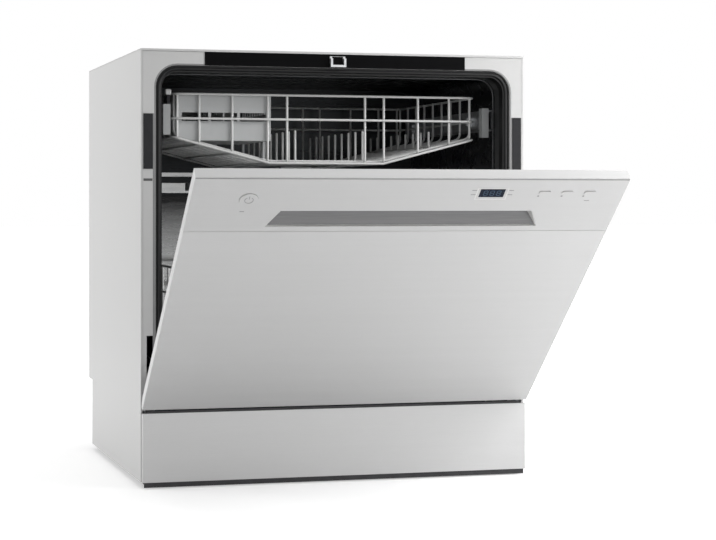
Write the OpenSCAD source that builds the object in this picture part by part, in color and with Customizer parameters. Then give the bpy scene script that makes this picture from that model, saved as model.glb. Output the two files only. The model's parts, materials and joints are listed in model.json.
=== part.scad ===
// Countertop dishwasher for eight place settings, with its door part-way open.
// Origin: on the floor, at the centre of the outer box. The front faces -Y.
// Door pieces are drawn with the door shut, then turned about the hinge.

/* [Cabinet] */
// Width over the side panels
body_w = 550; // [500:1:600]
// Height from the floor to the top panel
body_h = 595; // [575:1:640]
// Depth from the kick plate to the heads of the rear screws
body_d = 500; // [490:1:540]
// Thickness of the pressed steel sheet
sheet = 1; // [0.8:0.1:1.2]
// Width of the folded front edge of a side panel
panel_edge = 2.5; // [2:0.5:4]
// Height of the folded front lip of the top panel
top_lip = 3; // [2:0.5:6]
// Distance of the cabinet front behind the kick plate
front_y = 10; // [9.5:0.1:12]
// Height of the base that is set back at the rear
base_h = 109; // [106:1:112]
// Distance of the base's rear wall ahead of the rear panel
base_setback = 35; // [25:1:50]
// Height of the kick plate's top edge
kick_top = 101.5; // [98:0.5:102.5]
// Wall of the moulded base tray
tray_wall = 2.5; // [2:0.5:3.5]

/* [Front frame] */
// Width of a frame leg between the side panel and the opening
leg_w = 18; // [17:0.5:20]
// Distance of the opening's top edge below the top panel
head_h = 22; // [21:0.5:24]
// Radius of the opening's corners
opening_r = 30; // [24:1:36]
// Width of the light corner pieces beside the dark strip
corner_w = 86; // [70:1:100]
// Width of the rubber seal's lip
seal_w = 9; // [8.5:0.1:9.5]

/* [Feet] */
// Height of the feet below the base
foot_h = 8; // [6:0.5:9]
// Radius of a foot
foot_r = 18; // [14:1:22]
// Distance of the foot centres from the cabinet's sides
foot_inset = 45; // [35:1:60]
// Distance of the front feet behind the kick plate
foot_front = 45; // [40:1:60]

/* [Door] */
// Angle of the door from shut
door_open = 50; // [0:1:90]
// Thickness of the door's outer shell
shell_d = 14; // [13:0.5:14.5]
// How far the door stands out in front of the kick plate
door_proud = 6; // [5:0.5:6.5]
// Depth of the inner liner behind the outer shell
liner_d = 36; // [30:1:38]
// Height of the hinge axis above the floor
hinge_z = 114; // [113.5:0.1:115]
// Distance of the hinge axis behind the kick plate
hinge_y = 2; // [1.5:0.1:2.5]
// Height of the control panel
panel_h = 101; // [96:1:110]
// Plastic wall of the control panel
panel_wall = 2; // [1.5:0.1:2.5]

/* [Handle recess] */
// Width of the recess along its top edge
recess_top_w = 320; // [240:1:340]
// Width of the recess along its bottom edge
recess_bottom_w = 352; // [280:1:370]
// Height of the recess
recess_h = 30; // [24:1:34]
// Depth of the recess at its top
recess_d = 22; // [16:1:26]
// Distance of the recess above the panel's lower edge
recess_up = 9; // [7:0.5:12]

/* [Controls] */
// Radius of the power button
power_r = 11.5; // [9:0.5:14]
// Distance of the power button from the door's side
power_side = 71; // [50:1:85]
// Width of a program key
key_w = 15; // [10:0.5:18]
// Height of a program key
key_h = 6; // [4:0.5:8]
// Spacing of the program keys
key_pitch = 30; // [22:1:34]
// Distance of the middle key from the door's side
key_side = 76; // [70:1:95]
// Travel of a button or key
press = 1.5; // [1:0.1:1.5]
// Width of the display
display_w = 32; // [26:1:40]
// Height of the display
display_h = 15; // [10:0.5:18]
// Distance of the display from the door's side
display_side = 175; // [155:1:185]

/* [Tub] */
// Clear space between the tub and the outer side panel
tub_side = 27; // [27:0.5:30]
// Clear space between the tub and the top panel
tub_head = 26; // [26:0.5:30]
// Clear space behind the tub
tub_back = 40; // [30:1:50]
// Height of the tub floor
floor_z = 148; // [146:0.5:150]
// Height of the wheel ledges
ledge_z = 156; // [154:0.5:158]
// Width of a wheel ledge
ledge_w = 42; // [38:1:46]
// Distance of the tub's sill behind the kick plate
sill_y = 54; // [54:0.5:58]

/* [Racks] */
// Thickness of the coated wire
wire = 3.5; // [3:0.1:4]
// Free space between a rack and the tub wall, for rails or wheels
rack_side = 25; // [25:0.5:27]
// Distance of the racks behind the kick plate
rack_front = 64; // [62:1:70]
// Free space behind the racks
rack_rear = 24; // [20:1:34]
// Height of the upper rack
upper_h = 99; // [90:1:104]
// Half width of the flat middle of the upper rack's floor
floor_flat = 83; // [60:1:95]
// How far the upper rack's floor rises from its middle to its sides
floor_rise = 36; // [20:1:40]
// Height of the upper rack's rim below the tub ceiling
upper_drop = 29; // [26:1:34]
// Height of the second wire of the upper rack's wall below its rim
upper_rail_drop = 34; // [28:1:40]
// Height of the lower rack
lower_h = 120; // [100:1:130]
// Height of the lower rack's floor above the ledges
lower_up = 22; // [21:0.5:24]
// Height of the upper rack's prongs
comb_h = 46; // [36:1:50]
// Height of the plate prongs
prong_h = 76; // [50:1:85]
// Radius of a rack wheel
wheel_r = 14; // [12:0.5:15]
// Width of a rack wheel
wheel_w = 8; // [6:0.5:9]
// Radius of a wheel's pin
axle_r = 3; // [2.5:0.1:3.5]
// Height of the upper rack's rails
rail_h = 30; // [26:1:32]
// Height of the rails' top below the tub ceiling
rail_drop = 48; // [46:1:52]

/* [Spray arms] */
// Length of the lower spray arm from its axis to its tip
lower_arm_r = 188; // [150:1:189]
// Length of the upper spray arm from its axis to its tip
upper_arm_r = 168; // [140:1:180]
// Width of a spray arm
arm_w = 44; // [36:1:52]
// Thickness of a spray arm
arm_t = 11; // [9:0.5:11]
// Radius of the bearing posts
post_r = 12; // [10:0.5:13]

/* [Water parts] */
// Radius of the filter cup
filter_r = 37; // [30:1:40]
// Radius of the sump
sump_r = 50; // [48:1:54]
// Distance of the filter from the centre line
filter_x = 75; // [72:1:80]
// Radius of the salt cap
salt_r = 28; // [24:1:30]
// Radius of the circulation pump's housing
volute_r = 40; // [38:1:42]
// Radius of the inlet connector
inlet_r = 13.2; // [12.5:0.1:13.4]
// Length of the inlet connector behind the base
inlet_l = 16; // [14:1:18]
// Radius of the drain spigot
drain_r = 9.5; // [8.5:0.1:10]
// Length of the drain spigot behind the base
drain_l = 20; // [16:1:24]
// Radius of the cord's hole
cord_r = 4; // [3.5:0.1:4.5]

// Height of the pumps' axis
pump_z = 80; // [76:1:82]
// Distance of the softener's middle from the outside of the cabinet
salt_side = 110; // [105:1:125]
// Width of the softener's tank
tank_w = 105; // [95:1:110]
// Length of the softener's tank
tank_l = 180; // [150:1:190]
// Distance of the inlet from the outside of the cabinet
inlet_side = 75; // [70:1:85]
// Height of the inlet's axis
inlet_z = 58; // [54:1:62]
// Distance of the cord from the outside of the cabinet
cord_side = 165; // [155:1:175]
// Height of the cord's axis
cord_z = 42; // [38:1:46]
// Length of the air break's chamber
air_l = 200; // [160:1:220]
// Height of the air break's chamber
air_h = 220; // [180:1:240]
// Thickness of the air break's chamber
air_t = 18; // [14:1:20]
// Radius of the air break's port into the tub
air_r = 20; // [16:1:22]
// Radius of the float's stem
float_r = 10; // [8:0.5:11]
// Distance of the float from the centre line
float_x = 70; // [62:1:72]

/* [Dispenser] */
// Width of the dispenser's flange
disp_w = 172; // [164:1:180]
// Height of the dispenser's flange
disp_h = 110; // [104:1:118]
// Depth of the dispenser's body
disp_d = 22; // [18:1:24]
// Height of the dispenser's middle above the door's hinge axis
disp_up = 241; // [220:1:260]
// Width of the detergent cup
cup_w = 78; // [70:1:80]
// Height of the detergent cup
cup_h = 70; // [60:1:74]
// Radius of the rinse cap's plug
rinse_r = 12; // [10:0.5:13]

/* [Cutlery basket] */
// Width of the cutlery basket
basket_w = 134; // [110:1:140]
// Length of the cutlery basket
basket_l = 190; // [150:1:200]
// Height of the cutlery basket
basket_h = 66; // [50:1:80]
// Width of a window in the basket's sides
window_w = 7; // [4:0.5:9]
// Height of a window in the basket's sides
window_h = 18; // [10:1:20]
// Height of the long slots in the basket's front above its floor
slot_up = 27; // [22:1:30]
// Height of the long slots in the basket's front
slot_h = 12; // [8:1:14]

/* [Door hinge] */
// Thickness of a hinge bracket
bracket_t = 3; // [2.5:0.1:3.5]
// Radius of the hinge pin
pin_r = 3; // [2.5:0.1:3.5]
// Radius of the hinge lugs
lug_r = 6.2; // [5.6:0.1:6.3]
// Distance of the spring link above the hinge axis
link_up = 61; // [58:1:64]
// Radius of a balance spring
spring_r = 6; // [5:0.5:6.5]

/* [Screws] */
// Radius of a rear screw's head
screw_r = 4; // [3:0.5:5]

/* [Fits] */
// Gap between pieces that sit beside each other
gap = 0.3; // [0.2:0.05:0.4]
// Radial clearance of a turning fit
run_fit = 0.05; // [0.03:0.01:0.09]

/* [Hidden] */
$fn = 48;

panel_grey = [0.84, 0.84, 0.83];
door_grey = [0.76, 0.76, 0.76];
steel = [0.62, 0.63, 0.64];
dark = [0.08, 0.08, 0.09];
white = [0.93, 0.93, 0.92];
plastic_grey = [0.66, 0.67, 0.67];

hw = body_w / 2;
back_y = body_d - 2.2;
base_back = back_y - base_setback;
base_z = foot_h + gap;
skirt_z = 1.5;
top_z = body_h - sheet;
side_top = top_z - gap;
power_x = hw - power_side;
key_x = hw - key_side;
display_x = hw - display_side;
door_y = -door_proud;
shell_y = door_y + shell_d;
liner_y = shell_y + liner_d;
door_top = body_h - 2;
door_bottom = hinge_z - 2;
panel_z = door_top - panel_h;
opening_hw = hw - panel_edge - leg_w;
opening_z = body_h - head_h;
frame_z = 130;
insert_z = body_h - 163;
insert_h = 75;
frame_hw = hw - panel_edge - gap;
lip_end = front_y + 20;
seal_y = lip_end;
seal_hw = opening_hw - seal_w;
tub_y = seal_y + gap;
tub_hw = hw - tub_side - sheet;
tub_top = body_h - tub_head - sheet;
tub_end = back_y - tub_back - sheet;
tub_r = opening_r - 4;
well_hw = tub_hw - ledge_w;
liner_hw = seal_hw - 0.5;
liner_top = opening_z - 24;
liner_bottom = hinge_z - 26;

rack_hw = tub_hw - rack_side;
rack_end = tub_end - rack_rear;
rim_z = tub_top - upper_drop;
upper_z = rim_z - upper_h;
rail_z = tub_top - rail_drop - rail_h;
rail_t = 1.2;
lower_z = ledge_z + lower_up;
basket_x = 8 - rack_hw;
basket_z = rim_z - basket_h;
hub_y = (rack_front + rack_end) / 2;

arm_z = floor_z + 12;
feed_z = upper_z - 11;
upper_arm_z = feed_z - 14 - arm_t;

filter_y = hub_y - 72;
salt_x = salt_side - hw;
volute_y = filter_y + sump_r + gap;
drain_x = filter_x + sump_r + gap;
drain_pipe_x = drain_x + sump_r - 16;
inlet_x = inlet_side - hw;
cord_x = cord_side - hw;
plate_hy = 82;

arm_x = hw - 13;
arm_half = 2;
bracket_x = hw - 8;
hook_y = -0.2;
hook_z = opening_z + 11.5;
link_y = 30;
link_z = hinge_z + link_up;
spring_end = body_d - 170;
air_z = ledge_z + 174;
float_y = filter_y - 20;
disp_z = hinge_z + disp_up;
cup_x = 16 - disp_w / 2;
rinse_x = disp_w / 2 - 40;
lid_z = disp_z - cup_h / 2 - 4;
volute_l = 34;
wheel_front_y = rack_front + 46;
wheel_rear_y = rack_end - 40;
wheel_z = ledge_z + wheel_r + gap;
tine_y = hub_y - 40;
fold_gap = (sqrt(2) - 1) / 2 * wire + 0.2;

// Where a point of the shut door lies with the door turned to its angle
function turned(y, z) = [
    hinge_y + (y - hinge_y) * cos(door_open) - (z - hinge_z) * sin(door_open),
    hinge_z + (y - hinge_y) * sin(door_open) + (z - hinge_z) * cos(door_open)];
front_end = min(turned(door_y, door_top)[0], door_y);
origin_y = (front_end + body_d) / 2;

module in_frame() translate([0, -origin_y, 0]) children();

module on_door() in_frame()
    translate([0, hinge_y, hinge_z]) rotate([door_open, 0, 0]) translate([0, -hinge_y, -hinge_z])
        children();

module block(x, y, z) translate([x[0], y[0], z[0]]) cube([x[1] - x[0], y[1] - y[0], z[1] - z[0]]);

module both_sides() {
    children();
    mirror([1, 0, 0]) children();
}

// An outline drawn in Y and Z, with its thickness along X
module slab_yz(x) translate([x[0], 0, 0]) rotate([90, 0, 90]) linear_extrude(x[1] - x[0]) children();

// An outline drawn in X and Z, with its thickness along Y
module slab_xz(y) translate([0, y[1], 0]) rotate([90, 0, 0]) linear_extrude(y[1] - y[0]) children();

module rod_x(x, y, z, r) translate([x[0], y, z]) rotate([0, 90, 0]) cylinder(h = x[1] - x[0], r = r);

module rod_y(x, y, z, r) translate([x, y[0], z]) rotate([-90, 0, 0]) cylinder(h = y[1] - y[0], r = r);

module rod_z(x, y, z, r) translate([x, y, z[0]]) cylinder(h = z[1] - z[0], r = r);

// An outline with two rounded upper corners, open below
module arch(half, bottom, top, r) {
    translate([-half, bottom]) square([2 * half, top - r - bottom]);
    translate([r - half, bottom]) square([2 * (half - r), top - bottom]);
    for (side = [-1, 1]) translate([side * (half - r), top - r]) circle(r);
}

// A plate with four rounded corners, centred
module round_rect(w, h, r) {
    square([w - 2 * r, h], center = true);
    square([w, h - 2 * r], center = true);
    for (sx = [-1, 1], sy = [-1, 1]) translate([sx * (w / 2 - r), sy * (h / 2 - r)]) circle(r);
}

// Side panels, top and rear
module side_panel() {
    slab_yz([hw - sheet, hw]) polygon([[front_y, base_z], [base_back, base_z], [base_back, base_h],
        [back_y - sheet - gap, base_h], [back_y - sheet - gap, side_top], [front_y, side_top]]);
    block([hw - panel_edge, hw - sheet], [front_y, front_y + sheet], [base_z, side_top]);
    block([hw - 12, hw - sheet], [front_y + sheet, back_y - sheet - gap], [side_top - sheet, side_top]);
    block([hw - 12, hw - sheet], [back_y - 2 * sheet - gap, back_y - sheet - gap],
        [base_h + sheet + gap, side_top]);
}

module side_panel_left() color(panel_grey) in_frame() mirror([1, 0, 0]) side_panel();

module side_panel_right() color(panel_grey) in_frame() side_panel();

module top_panel() color(panel_grey) in_frame() {
    block([-hw, hw], [front_y, back_y], [top_z, body_h]);
    block([-hw, hw], [front_y - sheet, front_y], [body_h - top_lip, body_h]);
}

module rear_panel() color(steel) in_frame() {
    block([-hw, hw], [back_y - sheet, back_y], [base_h, side_top]);
    block([-hw + sheet + gap, hw - sheet - gap], [base_back, back_y - sheet], [base_h, base_h + sheet]);
}

module base_tray() color(dark) in_frame() {
    inner_hw = hw - sheet - gap;
    low_wall = 52;
    difference() {
        block([-inner_hw, inner_hw], [front_y + 3, base_back], [base_z, base_h - gap]);
        block([tray_wall - inner_hw, inner_hw - tray_wall], [front_y + 3 + tray_wall, base_back - tray_wall],
            [base_z + tray_wall, base_h]);
        block([-hw, hw], [0, sill_y + 12], [base_z + low_wall, base_h]);
        rod_y(inlet_x, [base_back - 10, base_back + 1], inlet_z, inlet_r + gap);
        rod_y(drain_pipe_x, [base_back - 10, base_back + 1], pump_z, drain_r + gap);
        rod_y(cord_x, [base_back - 10, base_back + 1], cord_z, cord_r + 5 + gap);
        both_sides() rod_z(hw - foot_inset, foot_front, [0, 40], 4 + run_fit);
    }
    both_sides() rod_z(hw - foot_inset, base_back - 30, [0, base_z], foot_r);
    both_sides() difference() {
        rod_z(hw - foot_inset, foot_front, [base_z + tray_wall, 36], 9);
        rod_z(hw - foot_inset, foot_front, [0, 40], 4 + run_fit);
    }
    block([3 - hw, hw - 3], [sheet + gap, front_y + 3 + tray_wall], [base_z - 2.5, base_z - gap]);
    block([3 - hw, hw - 3], [front_y + 3, front_y + 3 + tray_wall], [base_z - 1, base_z + 1]);
    block([3 - hw, hw - 3], [sheet + gap, sheet + 2], [skirt_z, base_z - 1]);
}

module kickplate() color(door_grey) in_frame() {
    end_x = hw - 1;
    block([-end_x, end_x], [0, sheet], [base_z, kick_top]);
    block([-end_x, end_x], [sheet, 6], [kick_top - sheet, kick_top]);
    both_sides() block([end_x - sheet, end_x], [sheet, front_y - gap], [base_z, kick_top - sheet]);
    both_sides() block([end_x - 60, end_x - 40], [sheet, front_y + 3 - gap], [base_z + 10, base_z + 11]);
}

// Front frame with the seal, the dark inserts and the latch strip
module front_frame() color(panel_grey) in_frame() {
    slab_xz([front_y, front_y + 2 * sheet]) difference() {
        translate([-frame_hw, frame_z]) square([2 * frame_hw, body_h - top_lip - gap - frame_z]);
        arch(opening_hw, 0, opening_z, opening_r);
        for (side = [-1, 1]) translate([side * arm_x - 5, frame_z + 10]) square([10, 66]);
    }
    slab_xz([front_y + 2 * sheet, lip_end]) difference() {
        arch(opening_hw + sheet, frame_z, opening_z + sheet, opening_r + sheet);
        translate([0, -1]) arch(opening_hw, 0, opening_z + 1, opening_r);
    }
}

module frame_inserts() color(dark) in_frame() both_sides()
    block([opening_hw + 4, frame_hw - 0.7], [front_y - 0.8, front_y], [insert_z, insert_z + insert_h]);

module latch_strip() color(dark) in_frame() {
    strip_hw = hw - corner_w - 2;
    block([-strip_hw, strip_hw], [front_y - 0.8, front_y], [opening_z + gap, body_h - top_lip - gap]);
}

module latch_striker() color(steel) in_frame() {
    striker_z = opening_z + 1;
    block([-11, 11], [front_y - 2.8, front_y - 0.8 - gap], [striker_z + 5, striker_z + 15]);
    both_sides() block([8, 11], [1.6, front_y - 2.8], [striker_z, striker_z + 12]);
    block([-8, 8], [1.6, 3.2], [striker_z, striker_z + 3]);
}

module door_seal() color(dark) in_frame() slab_xz([front_y + 4, seal_y]) difference() {
    arch(opening_hw - gap, frame_z, opening_z - gap, opening_r - gap);
    translate([0, -1]) arch(seal_hw, frame_z, opening_z - seal_w + 1, opening_r - seal_w);
}

// Stainless tub: rounded shell, wheel ledges, lowered floor and front sill
module tub_profile(grow) {
    arch(tub_hw + grow, ledge_z - grow, tub_top + grow, tub_r + grow);
    translate([-well_hw - grow, floor_z - grow]) square([2 * (well_hw + grow), 30]);
}

module tub() color(steel) in_frame() difference() {
    union() {
        difference() {
            slab_xz([tub_y, tub_end + sheet]) tub_profile(sheet);
            slab_xz([tub_y - 1, tub_end]) tub_profile(0);
            block([-tub_hw, tub_hw], [tub_y - 1, sill_y], [floor_z - 10, ledge_z + 20]);
        }
        slab_xz([tub_y, tub_y + sheet]) difference() {
            arch(tub_hw + 8, ledge_z, tub_top + 5, tub_r + 5);
            translate([0, -1]) arch(tub_hw, ledge_z, tub_top + 1, tub_r);
        }
        block([-tub_hw - sheet, tub_hw + sheet], [sill_y, sill_y + sheet], [96, floor_z]);
        both_sides() block([well_hw, tub_hw + sheet], [sill_y, sill_y + sheet], [floor_z, ledge_z]);
    }
    rod_z(filter_x, filter_y, [floor_z - 10, floor_z + 1], sump_r - 8);
    rod_z(0, hub_y, [floor_z - 10, floor_z + 1], post_r + gap);
    rod_z(salt_x, hub_y, [floor_z - 10, floor_z + 1], salt_r - 2);
    rod_z(-float_x, float_y, [floor_z - 10, floor_z + 1], float_r + gap);
    rod_x([-tub_hw - 5, 5 - tub_hw], hub_y, air_z, air_r + gap);
}

module sump() color(dark) in_frame() {
    under = floor_z - sheet - gap;
    difference() {
        union() {
            rod_z(filter_x, filter_y, [under - 3, under], sump_r + 6);
            rod_z(filter_x, filter_y, [60, under - 3], sump_r);
        }
        rod_z(filter_x, filter_y, [63, under + 1], sump_r - 4);
    }
    difference() {
        union() {
            rod_z(0, hub_y, [pump_z + 20 + gap, arm_z - 3], post_r);
            rod_z(0, hub_y, [floor_z + gap, floor_z + 2], post_r + 8);
        }
        rod_z(0, hub_y, [pump_z, arm_z], post_r - 3);
    }
}

module filter_plate() color(steel) in_frame() difference() {
    plate_w = 190;
    corner = 24;
    translate([filter_x - 20, filter_y + 22, floor_z + gap]) linear_extrude(sheet)
        round_rect(plate_w, 2 * plate_hy, corner);
    rod_z(filter_x, filter_y, [floor_z, floor_z + 5], filter_r + gap);
    rod_z(0, hub_y, [floor_z, floor_z + 5], post_r + 9);
}

module filter_cup() color(plastic_grey) in_frame() {
    plate_top = floor_z + gap + sheet;
    difference() {
        union() {
            rod_z(filter_x, filter_y, [plate_top + gap, plate_top + 4], filter_r + 5);
            rod_z(filter_x, filter_y, [floor_z - 55, plate_top + gap], filter_r);
        }
        rod_z(filter_x, filter_y, [floor_z - 53, plate_top + 5], filter_r - 3);
    }
    block([filter_x - filter_r, filter_x + filter_r], [filter_y - 4, filter_y + 4],
        [floor_z - 6, plate_top + 4]);
}

module softener() color(white) in_frame() {
    tank_top = floor_z - 20;
    difference() {
        union() {
            block([salt_x - tank_w + 40, salt_x + 40], [hub_y - tank_l / 2, hub_y + tank_l / 2],
                [base_z + tray_wall + gap, tank_top]);
            rod_z(salt_x, hub_y, [tank_top, floor_z - sheet - gap], salt_r + 4);
            rod_z(salt_x, hub_y, [tank_top, floor_z + 1], salt_r - 3);
        }
        rod_z(salt_x, hub_y, [base_z + 22, floor_z + 2], salt_r - 7);
    }
}

module salt_cap() color(plastic_grey) in_frame() {
    rod_z(salt_x, hub_y, [floor_z + 1 + gap, floor_z + 7], salt_r);
    block([salt_x - salt_r + 4, salt_x + salt_r - 4], [hub_y - 3, hub_y + 3], [floor_z + 7, floor_z + 11]);
    rod_z(salt_x, hub_y, [floor_z - 12, floor_z + 1 + gap], salt_r - 7 - run_fit);
}

module float() color(white) in_frame() {
    rod_z(-float_x, float_y, [floor_z - 16, floor_z + gap], float_r - run_fit);
    rod_z(-float_x, float_y, [floor_z + gap, floor_z + 7], float_r + 3);
}

module feed_pipe() color(plastic_grey) in_frame() {
    pipe_y = tub_end - gap;
    block([-15, 15], [pipe_y - 12, pipe_y], [floor_z + gap, feed_z + 14]);
    rod_y(0, [rack_end + 2, pipe_y - 12], feed_z, 13);
}

module circulation_pump() color(dark) in_frame() difference() {
    union() {
        rod_y(filter_x, [volute_y, volute_y + volute_l], pump_z, volute_r);
        rod_y(filter_x, [volute_y + volute_l, volute_y + 150], pump_z, volute_r - 5);
        block([filter_x - 24, filter_x + 24], [volute_y + 40, volute_y + 120],
            [base_z + tray_wall + gap, pump_z]);
    }
    rod_y(filter_x, [volute_y + 4, volute_y + 26], pump_z, volute_r - 4);
    rod_y(filter_x, [volute_y - 1, volute_y + 5], pump_z, 12);
    rod_y(filter_x, [volute_y + 25, volute_y + 60], pump_z, 4 + run_fit);
}

module pump_impeller() color(white) in_frame() {
    rod_y(filter_x, [volute_y + 10, volute_y + 58], pump_z, 4);
    rod_y(filter_x, [volute_y + 18, volute_y + 22], pump_z, volute_r - 8);
    for (turn = [0:60:300]) translate([filter_x, volute_y + 14, pump_z]) rotate([0, turn, 0])
        translate([volute_r / 2 - 2, 0, 0]) cube([volute_r - 16, 9, 2.5], center = true);
}

module heater() color(steel) in_frame() {
    tube_r = volute_r / 2;
    difference() {
        rod_y(0, [hub_y - 45, hub_y + 90], pump_z, tube_r);
        rod_y(0, [hub_y - 43, hub_y + 88], pump_z, tube_r - 2);
    }
    rod_x([tube_r - 1, filter_x - volute_r - gap], volute_y + volute_l / 2, pump_z, tube_r / 2);
    block([-14, 14], [hub_y + 40, hub_y + 80], [base_z + tray_wall + gap, pump_z - tube_r + 1]);
}

module drain_pump() color(dark) in_frame() {
    rod_x([drain_x, drain_x + 64], filter_y, pump_z, 20);
    rod_y(drain_pipe_x, [filter_y, base_back + gap], pump_z, drain_r - 1);
    rod_y(drain_pipe_x, [base_back + gap, base_back + drain_l], pump_z, drain_r);
    block([drain_x + 10, drain_x + 54], [filter_y - 16, filter_y + 16], [base_z + tray_wall + gap, pump_z]);
}

module inlet_valve() color(white) in_frame() {
    block([inlet_x - 22, inlet_x + 22], [base_back - 62, base_back - tray_wall - gap],
        [base_z + tray_wall + gap, inlet_z + 20]);
    rod_y(inlet_x, [base_back - tray_wall - gap, base_back + gap], inlet_z, inlet_r - 1);
    rod_y(inlet_x, [base_back + gap, base_back + inlet_l], inlet_z, inlet_r);
}

module air_break() color(plastic_grey) in_frame() {
    wall_x = -tub_hw - sheet - gap;
    block([wall_x - air_t, wall_x], [hub_y - air_l / 2, hub_y + air_l / 2],
        [air_z + 100 - air_h, air_z + 100]);
    rod_x([wall_x, 3 - tub_hw], hub_y, air_z, air_r);
    rod_x([gap - tub_hw, 5 - tub_hw], hub_y, air_z, air_r + 6);
}

module cord_gland() color(dark) in_frame() difference() {
    union() {
        rod_y(cord_x, [base_back - 9, base_back + gap], cord_z, cord_r + 5);
        rod_y(cord_x, [base_back + gap, base_back + 5], cord_z, cord_r + 9);
    }
    rod_y(cord_x, [base_back - 10, base_back + 6], cord_z, cord_r);
}

module rear_screws() color(steel) in_frame()
    for (side = [-1, 1], z = [base_h + 12, (base_h + side_top) / 2, side_top - 12]) difference() {
        rod_y(side * (hw - 8), [back_y, body_d], z, screw_r);
        for (arms = [[screw_r + 1, 1], [1, screw_r + 1]])
            translate([side * (hw - 8), body_d, z]) cube([arms[0], 2, arms[1]], center = true);
    }

module front_foot(side) color(dark) in_frame() {
    rod_z(side * (hw - foot_inset), foot_front, [0, foot_h], foot_r);
    rod_z(side * (hw - foot_inset), foot_front, [foot_h, 34], 4);
}

module front_foot_left() front_foot(-1);

module front_foot_right() front_foot(1);

// Door hinge: brackets on the cabinet, arms on the door and balance springs
module hinge_brackets() color(steel) in_frame() both_sides() {
    slab_yz([bracket_x, bracket_x + bracket_t]) {
        translate([hinge_y, hinge_z]) circle(lug_r);
        translate([hinge_y, hinge_z - 5.7]) square([40, 11.9]);
        translate([front_y + 6, 30]) square([38, hinge_z - 24]);
        translate([34, hinge_z]) square([20, link_z - hinge_z + 10]);
        translate([34, link_z - 10]) square([spring_end - 26, 20]);
    }
    rod_x([arm_x - 4, bracket_x], hinge_y, hinge_z, pin_r);
    block([arm_x - 6, bracket_x], [spring_end + gap, spring_end + 8], [link_z - 8, link_z + 8]);
}

module hinge_arms() color(steel) on_door() both_sides() {
    difference() {
        slab_yz([arm_x - arm_half, arm_x + arm_half]) {
            translate([hinge_y, hinge_z]) circle(lug_r);
            translate([door_y + sheet + gap, hinge_z]) square([9, 130]);
            translate([0, link_z - 8]) square([link_y, 16]);
            translate([link_y, link_z]) circle(8);
        }
        rod_x([arm_x - 3, arm_x + 3], hinge_y, hinge_z, pin_r + run_fit);
        rod_x([arm_x - 3, arm_x + 3], link_y, link_z, 2.2);
    }
}

module door_springs() color(steel) in_frame() {
    pin = turned(link_y, link_z);
    both_sides() {
        rod_x([arm_x - 5, arm_x + 3], pin[0], pin[1], 2);
        rod_y(arm_x - 4, [pin[0], 110], pin[1], 1.5);
        rod_y(arm_x - 4, [110, spring_end], pin[1], spring_r);
    }
}

// Outer door, its inner liner and what they carry
module door_panel() color(door_grey) on_door() {
    seam = panel_z - 0.6;
    block([-hw, hw], [door_y, door_y + sheet], [door_bottom, seam]);
    both_sides() slab_yz([hw - sheet, hw]) polygon([[door_y + sheet, door_bottom], [hinge_y - 1, door_bottom],
        [shell_y - sheet - gap, door_bottom + 13], [shell_y - sheet - gap, seam], [door_y + sheet, seam]]);
    block([8 - arm_x, arm_x - 8], [door_y + sheet, hinge_y - 2], [door_bottom, door_bottom + sheet]);
}

module recess_shape(grow) intersection() {
    z0 = panel_z + recess_up;
    slab_yz([-hw, hw]) polygon([[door_y - grow, z0 - grow], [door_y + 3 + grow, z0 - grow],
        [door_y + recess_d + grow, z0 + recess_h - 2], [door_y + recess_d + grow, z0 + recess_h + 3 + grow],
        [door_y - grow, z0 + recess_h + grow]]);
    slab_xz([door_y - 5, door_y + recess_d + 5]) polygon([
        [-recess_bottom_w / 2 - grow, z0 - grow], [recess_bottom_w / 2 + grow, z0 - grow],
        [recess_top_w / 2 + grow, z0 + recess_h + 3 + grow],
        [-recess_top_w / 2 - grow, z0 + recess_h + 3 + grow]]);
}

button_z = door_top - 41;
key_z = door_top - 27;
display_z = door_top - 28;

module control_panel() color(door_grey) on_door() difference() {
    union() {
        difference() {
            block([-hw, hw], [door_y, shell_y - sheet - gap], [panel_z, door_top]);
            block([panel_wall - hw, hw - panel_wall], [door_y + panel_wall, shell_y],
                [panel_z + panel_wall, door_top - panel_wall]);
        }
        block([-hw, hw], [shell_y - 1.5, shell_y], [liner_top + 2, door_top]);
        intersection() {
            recess_shape(panel_wall);
            block([-hw, hw], [door_y + 0.5, liner_y], [panel_z, door_top]);
        }
    }
    recess_shape(0);
    block([-14, 14], [shell_y - 4, shell_y + 1], [opening_z - 3, door_top - 2]);
    rod_y(-power_x, [door_y - 1, door_y + 5], button_z, power_r + 0.2);
    for (place = [-1, 0, 1]) translate([0, 0, key_z]) slab_xz([door_y - 1, door_y + 5])
        translate([key_x + place * key_pitch, 0]) round_rect(key_w + 0.4, key_h + 0.4, key_h / 2);
    block([display_x - display_w / 2 - 0.2, display_x + display_w / 2 + 0.2], [door_y - 1, door_y + 5],
        [display_z - display_h / 2 - 0.2, display_z + display_h / 2 + 0.2]);
}

module display_window() color(dark) on_door() {
    block([display_x - display_w / 2, display_x + display_w / 2], [door_y - 0.2, door_y + panel_wall],
        [display_z - display_h / 2, display_z + display_h / 2]);
    block([display_x - display_w / 2 - 3, display_x + display_w / 2 + 3],
        [door_y + panel_wall + gap, door_y + panel_wall + 2],
        [display_z - display_h / 2 - 2, display_z + display_h / 2 + 2]);
    block([display_x - display_w / 2, display_x + display_w / 2],
        [door_y + panel_wall, door_y + panel_wall + gap],
        [display_z - display_h / 2, display_z + display_h / 2]);
}

module button_body(w, h, r) {
    slab_xz([door_y - 1, door_y + panel_wall]) round_rect(w, h, r);
    slab_xz([door_y + panel_wall, door_y + 3.2]) square([w / 3, h / 2], center = true);
}

module power_button() color(steel) on_door() {
    rod_y(-power_x, [door_y - 1, door_y + panel_wall], button_z, power_r);
    rod_y(-power_x, [door_y + panel_wall, door_y + 3.2], button_z, 3);
}

module key(place) color(door_grey) on_door()
    translate([key_x + place * key_pitch, 0, key_z]) button_body(key_w, key_h, key_h / 2 - 0.2);

module key_left() key(-1);

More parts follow.
